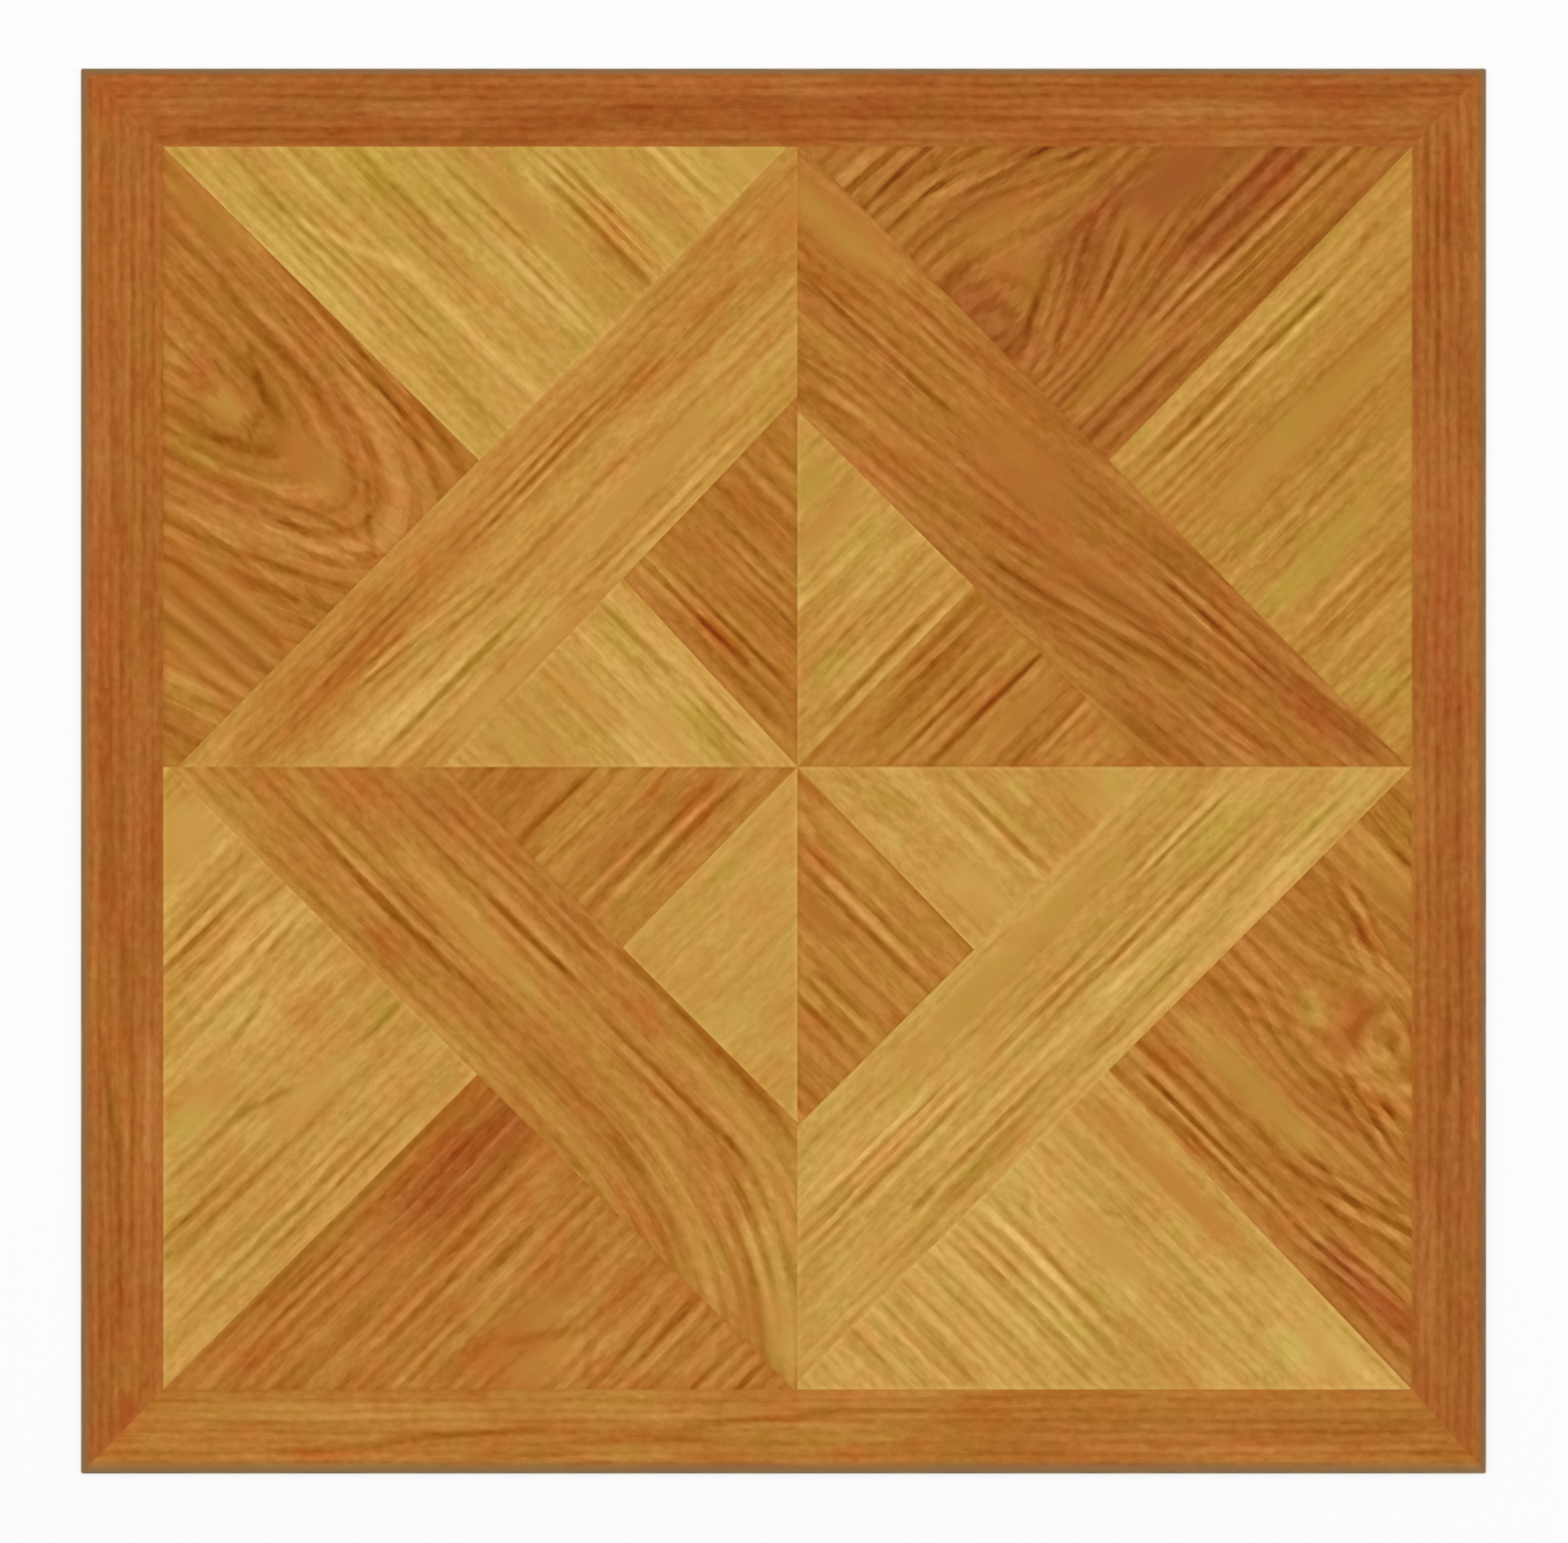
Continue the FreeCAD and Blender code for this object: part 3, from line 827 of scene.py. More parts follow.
board = Board("tr_right", ("tr_outer_side", "field_r", "field_tr", "tr_outer_meet"),
              middle=(114, 68), grain=45, level=142, seed=320)
board.ink(streaks=(
    (-32, 48, 26.5, 1.1, 9), (-32, 50, 24.7, 1, -10), (-24, 8, 23, 1.2, -13), (10, 28, 23.2, 1.3, -22),
    (36, 46, 25, 1.2, -13), (-30, 30, 21.3, 1, 9), (-24, 4, 19.5, 0.9, -9), (0, 28, 15.2, 1.1, 9),
    (-32, -6, 12.6, 1.2, 8), (-30, -8, 17.5, 1, -9), (-30, 40, 6, 5, 3), (-28, -12, -3.5, 1, -15),
    (-30, -8, -7, 1, 8), (-32, -8, -9, 1.2, -14), (-10, 12, -6, 1, -12), (-8, 12, -4, 1, 8),
    (2, 16, -9, 1, 7), (-30, 6, -17, 4, 8), (-27, 0, -25, 1.1, 9), (-28, -1, -27.2, 1, -12),
    (-27, -3, -28.8, 1, 8), (-28, -5, -30.5, 1, -12), (-28, -6, -34, 1.1, 9),
    (-32, -10, -37.5, 2.2, -8), (-30, -18, -46, 5, 10),
), shades=(
    ((14, 6), (34, 6), -0.8), ((0, -1), (8, 5), -0.6), ((-14, -17), (20, 6), -0.9),
    ((7, -13), (8, 4), -1.2), ((-23, -48), (7, 9), -1.4), ((-15, -37), (12, 3), 0.4),
    ((-20, 16), (16, 5), 0.4),
), groups=(
    ((5, 23), (42, 6), 0, 2.9, 12), ((-16, 15), (20, 5), 0, 2.6, 9), ((-8, -7), (24, 5), 0, 2.8, 12),
    ((-15, -29), (16, 7), 0, 3.4, 12), ((-22, -46), (8, 10), 0, 3.4, 8),
), calm=(
    ((5, 6), (40, 6), 1), ((-12, -17), (24, 5), 0.6),
), shade=-0.2)

board = Board("tr_band", (
    "tr_inner_side", "tr_outer_side", "tr_outer_meet", "tr_outer_end", "field_t", "tr_inner_end",
), middle=(55, 55), grain=-45, level=122, seed=340, tilt=-0.1)
board.ink(streaks=(
    (-95, -55, 14, 5, 14), (-75, -60, 4, 2.5, -8), (-74, -50, 3, 0.9, 9), (-72, -50, 1.4, 0.9, -13),
    (-60, -48, 0, 1, -9), (-70, -30, 0, 1, 9, 0.05), (-42, -29, 2.3, 1.1, -14),
    (-40, -28, 0.2, 0.9, 10), (-68, -52, -5.5, 3, 9), (-62, -46, -11, 1.2, -10, 0.3),
    (-56, -40, -14, 1.2, -9, 0.25), (-54, -28, -12, 3, 4), (-22, 8, 7, 8, -4),
    (-20, 8, -8, 1.2, -11, 0.2), (-18, 6, -10, 1, 8, 0.2), (-4, 22, -12, 1.3, -12, 0.25),
    (12, 40, -8, 1.2, -10, 0.24), (30, 48, -4.5, 1.2, -11, 0.22), (16, 36, -1, 1.1, -12, 0.25),
    (34, 52, 2, 1.1, -11, 0.2), (18, 40, -3, 1, 11, 0.27), (14, 34, -6, 1, 9, 0.28),
    (4, 24, -15.5, 1.2, -11, 0.3), (28, 60, 10.5, 1.2, -15, 0.05), (34, 44, 8.8, 0.9, 12),
    (20, 50, 13.5, 1, -8, 0.05), (54, 90, 12, 5.5, -13), (62, 86, 16, 1.8, -12), (58, 68, -4, 1.2, 12),
    (56, 66, 2.5, 1, 8), (54, 72, -1, 1.2, -10), (50, 68, -8, 1.2, -9, 0.2), (38, 58, -17, 2, -10),
), shades=(
    ((-66, 4), (9, 3), 0.9), ((-60, -6), (8, 4), -0.9), ((4, 14), (10, 5), 0.6), ((74, 12), (16, 7), 1),
    ((63, -3), (8, 4), 0.8), ((-33, -12), (12, 4), 0.5), ((48, -17), (10, 3), -0.8),
    ((-46, -18), (10, 2), -0.9),
), groups=(
    ((-52, 2), (26, 4), 0.04, 2.3, 12), ((-52, -12), (18, 6), 0.25, 3.6, 6),
    ((22, -8), (28, 10), 0.24, 3.5, 10), ((40, 0), (16, 5), 0.2, 3.3, 9),
    ((45, 11), (28, 4), 0.05, 2.6, 12), ((60, -2), (14, 7), 0.12, 2.7, 10),
    ((-38, 12), (20, 6), 0, 2.7, 6),
), calm=(
    ((-75, 14), (22, 7), 1), ((-8, 6), (24, 9), 0.8), ((25, -4), (28, 10), 0.7),
), lines=(3.2, 10), shade=0, rim=-4)

board = Board("tr_inner_left", ("centre", "tr_inner_meet", "tr_inner_end"),
              middle=(16, 40), grain=45, level=151, seed=360)
board.ink(streaks=(
    (-10, 18, 6.6, 1.2, -10), (-16, 9, 4.3, 1, 9), (-18, 18, 2, 1.1, -11), (-20, 8, -0.8, 1, 8),
    (8, 17, -4, 3, -8), (-24, 16, -13.4, 1.2, 9), (-24, 17, -15.4, 0.9, -9), (-32, 17, -17.3, 1, 8),
    (-26, -12, -8, 3.5, 4), (-4, 17, -6, 1, -6), (-2, 17, 13, 2.5, -2), (8, 16, 17, 1, -8),
), shades=(
    ((9, 22), (7, 5), -1.3), ((-16, -8), (8, 4), -1.3), ((12, -3), (8, 4), -0.3),
), groups=(
    ((0, 4), (22, 5), 0, 4.4, 12), ((-2, -8), (22, 4), 0, 2.9, 7), ((-4, -15), (26, 4), 0, 3.7, 10),
), calm=(
    ((5, 14), (14, 4), 0.9), ((9, 23), (9, 6), 0.8),
), shade=0.15, rim=7)

board = Board("tr_inner_right", ("centre", "tr_inner_side", "tr_inner_meet"),
              middle=(42, 16), grain=45, level=132, seed=380)
board.ink(streaks=(
    (-12, 17, 15.2, 1.2, -14), (-2, 16, 13, 1, 9), (-20, 16, 10.8, 1.1, -9), (-14, 16, 8.3, 1, 7),
    (-22, 0, 5, 1, 7), (-24, 12, 2.6, 1.1, -11), (-20, 6, -1, 0.9, 8), (-20, 16, -3, 1.3, -18),
    (-16, 16, -5, 1, 8), (-12, 16, -9, 2.5, 2), (-6, 3, -15.2, 1.3, -14), (4, 17, -16.3, 1, -9),
    (0, 17, -18, 1.1, 12), (10, 18, -26, 5, -3),
), shades=(
    ((4, -2), (12, 3), 1), ((11, -22), (7, 4), 0.9), ((-24, 14), (5, 3), -0.9),
    ((-2, -15), (5, 2), -0.6),
), groups=(
    ((-2, 12), (22, 5), 0, 2.8, 11), ((-6, 3), (22, 5), 0, 2.9, 10), ((2, -3), (22, 3), 0, 2.5, 11),
    ((8, -17), (12, 3), 0, 2.7, 10),
), calm=(
    ((4, -9), (14, 3), 1),
), lines=(3.2, 7), shade=-0.15, rim=-8)

# The bottom left quarter: a pale triangle beside a dark red one with an arch at its tip,
# a brown band that bends down at its end, and a dark and a pale triangle at the centre.
board = Board("bl_left", ("field_bl", "bl_outer_meet", "bl_outer_side", "field_l"),
              middle=(-110, -66), grain=45, level=155, seed=400)
board.ink(streaks=(
    (12, 30, 52, 8, 4), (6, 30, 38, 1, -6), (-2, 30, 35, 1.1, 9), (2, 22, 33, 1.2, -12),
    (-4, 30, 30, 1.1, 9), (-6, 14, 28, 1.2, -12), (-4, 30, 26, 1.1, 10), (-10, 12, 21.3, 1.2, 9),
    (-12, 20, 19.5, 1.1, -11), (16, 28, 23, 1.2, 14), (17, 27, 20.6, 1.1, -16), (17, 26, 25, 1, -11),
    (-2, 12, 13, 1.1, -11, 0.25), (14, 26, 9.5, 1.2, 9, -0.4), (10, 22, 6, 6, -9), (-6, 12, 8, 3, 2),
    (-34, -6, 0, 1.3, -17, -0.04), (-14, 2, -2.4, 1.2, -18, -0.28), (-36, -10, -2.2, 1.1, 8),
    (-4, 20, -8, 4, 4), (-42, -6, -5.3, 1, 9), (-44, -6, -7.6, 1, -11), (-44, -10, -12, 1, -11),
    (-46, 0, -10, 1, 7), (18, 31, -4, 0.9, -9), (18, 30, -8, 0.9, -9), (10, 31, -16.2, 1.1, 10),
    (10, 31, -14.6, 0.9, -9), (-40, -8, -19, 1.2, -9), (-50, 0, -23, 1.1, -10), (-34, -8, -27, 1.2, -9),
    (-58, 28, -29, 1.2, 8),
), shades=(
    ((-20, 6), (8, 5), -1.3), ((15, 6), (8, 6), 0.6), ((26, -6), (6, 6), -1.3),
    ((-26, 0), (10, 2), -0.8), ((-22, -23), (16, 5), -0.6), ((25, -29), (8, 2), 0.8),
), groups=(
    ((10, 33), (20, 7), 0, 3.5, 12), ((0, 22), (22, 6), 0, 3.4, 9), ((20, 23), (8, 5), 0, 3, 12),
    ((-24, -9), (24, 5), -0.02, 3.7, 10), ((-12, -23), (44, 7), 0, 2.7, 10),
    ((4, 13), (12, 5), 0.2, 3.4, 7),
), calm=(
    ((20, 52), (16, 10), 1), ((2, -8), (18, 5), 0.9), ((-16, 7), (14, 6), 0.8),
), shade=0.4, rim=8)

board = Board("bl_bottom", ("field_bl", "bl_outer_end", "bl_outer_meet"),
              middle=(-66, -108), grain=45, level=133, seed=420)
board.ink(streaks=(
    (-62, 28, 29.2, 1.2, -12), (-14, 36, 21, 7, -8), (-4, 38, 20, 8, -8), (-6, 34, 13, 4, -7),
    (-4, 32, 24.3, 1.1, -8), (-6, 32, 20.6, 1.1, -8), (-10, 32, 16.2, 1.1, -8),
    (-36, 32, 11.2, 1.2, -12), (-24, 26, 9, 1.1, 11), (-26, 12, 6.2, 1.1, -9), (-26, 30, 3.4, 1.2, 9),
    (-2, 30, -1.3, 1.1, -12), (-6, 22, -3.5, 1.2, 9), (-30, -8, -6, 1.2, -12), (6, 30, -6.4, 1.1, -10),
    (-34, -24, 3, 2.5, 9), (-24, -8, -11, 2.4, -8), (-10, 9, -20, 1.6, -12, -0.7),
    (-3, 8, -31, 1.6, -11, 0.9), (-4, 6, -25.5, 3.4, 9), (6, 16, -18, 3.2, -7, -0.5),
    (8, 24, -27, 6, -6), (10, 30, -33, 1.2, -9, 0.12), (8, 28, -31, 1.1, 7, 0.12),
    (12, 30, -37.5, 1.2, -9, 0.08), (10, 30, -35.5, 1.1, 8, 0.08), (6, 26, -44, 1.2, -9, 0.05),
    (8, 28, -41.5, 1.2, 9, 0.05), (12, 30, -48, 1.1, 8, 0.03), (14, 30, -51, 1.2, -8),
    (18, 30, -57.5, 1.3, -13),
), shades=(
    ((14, 19), (26, 10), 0.8), ((-10, -14), (18, 6), 0.9), ((10, -37), (6, 4), -1.2),
    ((5, -3), (12, 2), -0.8), ((-45, 21), (16, 6), 0.5), ((-10, 29), (50, 2), -0.6),
), groups=(
    ((10, 18), (26, 9), 0, 3.3, 11), ((-30, 20), (26, 7), 0, 3, 8), ((2, 3), (34, 8), 0, 4.8, 12),
    ((20, -38), (14, 12), 0.06, 3.8, 10), ((22, -54), (10, 8), 0.02, 3.8, 8),
), calm=(
    ((0, -16), (22, 5), 1), ((-6, -24), (14, 5), 1),
), lines=(3.2, 10), shade=0.45, rim=-6)

board = Board("bl_band", (
    "bl_outer_side", "bl_outer_meet", "bl_outer_end", "field_b", "bl_inner_end", "bl_inner_side",
), middle=(-45, -50), grain=-45, level=136, seed=440, sweep=(26, 0.6, 0.0042))
board.ink(streaks=(
    (-4, 54, 14.4, 1.4, -22), (-60, -6, 11.5, 3.2, -9), (-18, -2, 12.6, 1, -12), (-60, -45, 8, 4, -8),
    (-48, -34, 4, 1, 9), (-52, -34, 2.5, 0.9, -11), (-30, -4, 4.6, 1, 10), (-30, -4, 2.8, 1, -12),
    (-28, -6, 1, 1, 9), (6, 20, 8, 3, -6), (4, 52, 1.7, 1.1, -15), (8, 50, -0.4, 1.1, 11),
    (14, 50, -2.3, 1, -11), (24, 54, -4.3, 1.1, 10), (-42, -6, -5, 3.2, 7), (-88, -50, -2, 7, -10),
    (-68, -28, -11.2, 1.1, -14), (-64, -20, -13.2, 1, 10), (-66, -14, -15.2, 1.1, -14),
    (-60, -10, -17.3, 1.1, 9), (-44, -32, -21.5, 1.8, -12), (-30, 4, -23, 2.5, 7),
    (0, 40, -14, 1.2, -12), (4, 44, -11.5, 1.1, 8), (0, 36, -17, 1.1, -11), (0, 34, -19.5, 1.2, 9),
    (30, 56, -15, 1.2, 8), (26, 60, -18, 1.2, -12), (40, 70, -9, 1.1, 9), (40, 72, -12, 1.2, -11),
    (50, 76, -6.5, 1.1, -9), (58, 92, -14.5, 6, 14, -0.64), (58, 80, -12, 1.2, 9),
    (56, 84, -16, 1.2, -9),
), shades=(
    ((-70, -2), (22, 8), 0.5), ((-35, 11), (28, 4), 0.6), ((12, 8), (10, 4), 0.7),
    ((-38, -20), (10, 5), 1), ((-30, -6), (22, 4), 0.3), ((-15, -23), (14, 3), -0.7),
    ((9, -24), (8, 3), 0.8), ((47, -24), (10, 4), 0.8),
), groups=(
    ((-26, 10), (34, 4), 0, 2.6, 8), ((-18, 3), (20, 3), 0, 3.6, 12), ((28, 2), (30, 7), 0, 3.5, 12),
    ((-42, -14), (32, 6), 0, 4.1, 13), ((22, -14), (30, 9), None, 3.8, 9),
    ((58, -10), (26, 12), None, 4, 8),
), calm=(
    ((-24, -5), (22, 3), 1), ((80, -18), (14, 10), 0.7),
), lines=(3.4, 10), shade=0.1, rim=-4)

board = Board("bl_inner_upper", ("centre", "bl_inner_side", "bl_inner_meet"),
              middle=(-36, -12), grain=45, level=134, seed=460)
board.ink(streaks=(
    (-18, -8, 28.5, 1.1, -13), (-18, -5, 26.4, 1.1, 8), (-18, -2, 23, 1.6, -8), (-18, 2, 17.5, 2.2, 6),
    (-18, 3, 12, 1.8, -14), (-16, 6, 9, 1.2, 10), (-16, 8, 6.8, 1, -10), (-6, 11, 4.8, 1.1, 7),
    (-10, 12, 2.6, 1, -8), (7, 17, 0, 2.4, -8), (-18, 19, -3, 1.3, -16), (-18, 22, -5.6, 1.1, 13),
    (-18, 22, -7.8, 1, -13), (-10, 18, -10, 1, 9), (0, 27, -11.8, 1.5, -17), (-18, 2, -13.2, 1.1, 9),
    (-16, 24, -14.2, 1.1, -10), (6, 26, -10, 5, -6),
), shades=(
    ((11, 0), (7, 3), 1.5), ((-9, 12), (10, 3), 1), ((-2, -6), (20, 2), 0.6), ((0, 5), (7, 3), -0.9),
    ((15, -10), (12, 5), 0.8), ((-10, -14), (9, 5), -0.8),
), groups=(
    ((-10, 24), (12, 8), 0, 4.6, 8), ((-6, 9), (18, 6), 0, 4.4, 11), ((0, -5), (24, 3), 0, 4.4, 12),
    ((4, -12), (28, 4), 0, 3.6, 12),
), calm=(
    ((-4, -1), (10, 2), 0.6),
), lines=(4.4, 9), shade=0.1, rim=-8)

board = Board("bl_inner_right", ("centre", "bl_inner_meet", "bl_inner_end"),
              middle=(-12, -38), grain=45, level=156, seed=480)
board.ink(streaks=(
    (-16, 6, 7.5, 1.1, -7), (-14, 8, 5.8, 0.9, 6), (6, 24, 12, 1.6, -6), (-14, 4, -9, 1.1, -5),
    (-16, 24, 15, 1.2, 5), (-14, 20, 1, 1.2, -4),
), shades=(
    ((12, 12), (10, 3), -0.8), ((-6, -12), (10, 5), -0.8),
), groups=(
    ((-6, 6), (14, 3), 0, 2.5, 8), ((2, -6), (18, 6), 0, 3.6, 4),
), lines=(2.6, 3), rings=3, fibre=5, pores=5, clouds=3, shade=0.4, rim=9)

# The bottom right quarter: a flat-sawn triangle with a swirl beside a pale striped one, a
# straw-coloured band, and a pale and a dark triangle at the centre.
board = Board("br_right", ("br_outer_meet", "field_br", "field_r"),
              middle=(115, -68), grain=-45, level=130, seed=500,
              swells=(((-4, 24), (24, 14), -5), ((-4, 4), (24, 14), 5)))
board.ink(streaks=(
    (-34, -22, 58, 1.3, -11, -0.1), (-34, -20, 54, 1.3, -12, -0.1), (-34, -18, 50, 1.2, -11, -0.1),
    (-34, -18, 52, 1.1, 9, -0.1), (-32, -14, 43, 2.6, 8), (-30, -16, 34.8, 1.1, 11, -0.4),
    (-24, -8, 33, 1.1, 9, -0.3), (-21, -12, 30.8, 1.3, -18, -0.55), (-30, -14, 31.5, 1, -9, -0.3),
    (-28, -14, 25, 1.3, -13, -0.2), (-16, 6, 26, 3, 5, -0.2), (-11, 5, 16, 5.5, -17, -3),
    (-1, 5, 19.5, 1.1, 10, -0.9), (-17, -7, 11, 3.5, 9, -0.8), (1, 7, 10, 2.6, 10, 0.9),
    (2, 8, 7, 1.1, -13, 0.8), (11, 18, 8.6, 1.2, -14, -0.3), (7, 15, 3.6, 1.1, -13, -0.2),
    (7, 13, 5.4, 1, 11, -0.2), (16, 24, 1.5, 1.1, 10, -0.2), (14, 30, -0.2, 1.1, -11, -0.15),
    (-2, 10, -1, 1.1, -9, -0.2), (-32, -20, 2, 1.2, -10, 0.3), (-30, 12, -9.5, 5.5, 15),
    (4, 24, -6.5, 2.6, 6, 0.1), (12, 34, -11, 1.2, -11, 0.32), (14, 38, -13.5, 1.1, 9, 0.32),
    (16, 42, -15.5, 1.2, -11, 0.3), (28, 42, -8.5, 1.3, -10, 0.3), (-34, -8, -19.8, 1.1, -15),
    (-30, -6, -21.8, 1, 9), (-28, 4, -23.8, 1.1, -17), (-30, 0, -25, 0.9, 9),
    (-16, 16, -26.3, 1.2, -16), (-20, -10, -28, 1.1, -14), (-32, 34, -30, 1.6, 10),
    (-8, 18, -22, 1.1, -10), (24, 60, -23, 5.5, -18), (26, 40, -26.5, 1.2, -12), (28, 50, -24.5, 1, 11),
    (32, 48, -20.5, 1, 8, 0.2),
), shades=(
    ((-27, 54), (10, 8), -0.9), ((-20, 42), (14, 5), -1), ((-16, 31), (8, 4), 1.2),
    ((-3, 15), (7, 9), 1.2), ((-12, 11), (6, 5), -1), ((12, 7), (8, 4), 1), ((42, -23), (18, 7), 1),
    ((-5, -10), (30, 6), -0.2), ((34, -9), (8, 4), -0.9), ((-10, -25), (22, 4), 0.4),
    ((-5, 27), (12, 4), -0.5),
), groups=(
    ((-26, 53), (12, 9), -0.1, 3.9, 12), ((-18, 31), (16, 7), -0.3, 3.3, 12),
    ((-16, 6), (14, 7), 0.3, 4.2, 12), ((14, 4), (18, 6), -0.2, 3.5, 15),
    ((24, -12), (24, 7), 0.3, 3.7, 14), ((-6, -24), (28, 5), 0, 2.7, 14),
    ((36, -23), (20, 6), 0.1, 2.9, 12),
), calm=(
    ((-8, -10), (26, 5), 1), ((-14, 42), (14, 5), 0.7), ((-3, 15), (7, 8), 1),
), knots=(
    ((4, 18), (20, 15), 6, 12),
), rings=9, lines=(4, 14), shade=0.1, rim=-5)

board = Board("br_bottom", ("field_b", "field_br", "br_outer_meet", "br_outer_end"),
              middle=(70, -110), grain=-45, level=161, seed=520)
board.ink(streaks=(
    (-34, 28, 25, 5, -9), (-38, 12, 24, 8, -8), (-22, 32, 15.6, 1.1, 8), (-16, 30, 13.4, 1, -8),
    (20, 31, 16.6, 1, -12), (15, 22, 10, 1.1, -12), (14, 26, 12, 1.1, 7), (32, 48, 18, 5, 8),
    (42, 58, 25, 3, 8), (-26, -18, 0, 1, 10, -0.8), (-24, -19, -2, 1, -13), (-32, 14, -7.9, 1.1, 19),
    (-14, -2, -7.9, 1, 7), (-30, 14, -5.8, 1, -10), (-32, 16, -9.9, 1, -11), (-30, 14, -11.8, 1.1, 10),
    (-32, 8, -13.4, 1, -10), (-30, 12, -15.2, 1.1, 9), (-32, 16, -18, 1.1, -16), (-32, 8, -20, 1.1, 10),
    (-30, 4, -23.5, 1.1, -7), (-28, 2, -33, 1.6, 13), (-30, -6, -36, 1.1, -10),
    (-32, -14, -39.6, 1.3, 11), (-32, -14, -42, 1.1, -9), (-32, -18, -44.3, 1.2, 9),
    (-32, -20, -46.6, 1.1, -9), (-32, -24, -55, 4, 5),
), shades=(
    ((-4, 26), (30, 5), 0.7), ((38, 17), (9, 6), -1.6), ((2, -4), (10, 3), -0.9),
    ((2, -13), (10, 4), -0.8), ((3, 18), (4, 3), -0.8), ((-28, -45), (5, 3), 0.7),
    ((-10, 5), (16, 6), 0.2),
), groups=(
    ((4, 14), (28, 5), 0, 2.7, 8), ((-10, -9), (26, 5), 0, 3.8, 10), ((-8, -16), (26, 4), 0, 4.2, 11),
    ((-20, -39), (16, 9), 0, 4.3, 11), ((-8, -26), (26, 4), 0, 3.2, 5),
), calm=(
    ((-6, 5), (18, 5), 0.9), ((-4, 25), (28, 4), 0.8), ((44, 22), (14, 6), 0.8),
), shade=0.3, rim=8)

board = Board("br_band", ("br_inner_side", "br_inner_end", "br_outer_end", "br_outer_meet", "field_r"),
              middle=(55, -50), grain=45, level=156, seed=540)
board.ink(streaks=(
    (34, 40, 3.2, 1.2, 10), (33, 39, 4.8, 1, -12), (46, 60, 3, 1, -10), (28, 60, 1.2, 1.1, -11),
    (44, 62, 5, 1.1, 7), (-66, -28, 3.4, 1.1, 9), (-66, -44, 1.4, 1.1, -14), (-46, -28, 1, 1, -11),
    (-60, -28, -0.8, 1, 9), (-60, -28, -3, 1.1, -14), (-58, -30, -5.4, 1, 9), (-60, -24, -7, 1, -9),
    (-28, 20, -4.5, 1.1, -7), (4, 11, 4, 1.5, 9), (10, 64, -3.4, 1.1, -14), (8, 44, -5.8, 1.1, 10),
    (14, 60, -7.6, 1, -11), (10, 62, -9.5, 1.2, 13), (-46, 4, -9, 1.2, 10), (-60, -10, -11, 1, -9),
    (-82, -48, -13, 1.2, 10), (-52, -44, -12.2, 1.2, -15), (-50, -18, -15.2, 1.1, -11),
    (-60, -20, -17.4, 1.1, -9), (-48, -16, -13.3, 1, 8), (0, 30, -13, 1.1, 9), (0, 30, -15, 1.1, -10),
    (0, 6, -16.8, 1, -12), (0, 26, -17.3, 1, -9), (30, 70, -14, 1.1, -8), (60, 78, -15.5, 1.1, -10),
    (6, 64, -20, 1.1, 9), (-94, -60, -19, 2, 5),
), shades=(
    ((-42, 0), (18, 4), 0.8), ((0, 11), (52, 5), -0.4), ((55, -3), (14, 8), -1),
    ((33, 8), (6, 5), -0.7), ((-35, -16), (9, 3), -0.9), ((21, -17), (5, 2), -0.9),
    ((70, -15), (8, 3), -1.1), ((-23, -19), (4, 2), 1.1), ((8, 3), (4, 4), 0.8),
    ((18, -6), (8, 2), 0.7),
), groups=(
    ((-46, -1), (32, 7), 0, 2.6, 18), ((10, -2), (38, 6), 0, 3.3, 13), ((34, -5), (34, 6), 0, 4, 14),
    ((48, 3), (16, 4), 0, 2.7, 15), ((-36, -13), (32, 5), 0, 3.8, 13), ((16, -16), (20, 5), 0, 2.7, 10),
    ((66, -15), (14, 4), 0, 2.9, 9),
), calm=(
    ((0, 11), (52, 5), 1), ((-14, 0), (14, 5), 0.6),
), rings=5, shade=0.2, rim=5)

board = Board("br_inner_upper", ("br_inner_side", "centre", "br_inner_meet"),
              middle=(42, -14), grain=-45, level=156, seed=560)
board.ink(streaks=(
    (-8, 17, 9.6, 1.3, -8), (-6, 4, 13, 1.6, 6), (-14, 18, 3.3, 1.1, 13), (-10, 10, 5.3, 1, -10),
    (-12, 17, 1.2, 1, -9), (-21, -12, 0, 1.4, 10, 0.2), (-12, 12, -2, 1, 6),
    (-30, -14, -12.5, 1.1, -11, 0.25), (-28, -14, -10, 1.1, 9, 0.3), (-26, -12, -7.5, 1.1, -10, 0.3),
    (-32, -18, -14.5, 1, 9, 0.15), (0, 18, -9, 5, 5), (-32, 10, -16.8, 1, 5),
), shades=(
    ((14, 28), (6, 8), -0.9), ((-1, 13), (5, 3), -0.9), ((-20, -9), (8, 4), -0.9),
    ((4, 4), (12, 2), 0.5),
), groups=(
    ((2, 5), (20, 5), 0.02, 3.8, 9), ((-21, -10), (13, 6), 0.28, 3.6, 11),
), calm=(
    ((8, -9), (12, 6), 1), ((12, 26), (10, 8), 0.9),
), lines=(2.8, 5), rings=5, shade=0.3, rim=8)

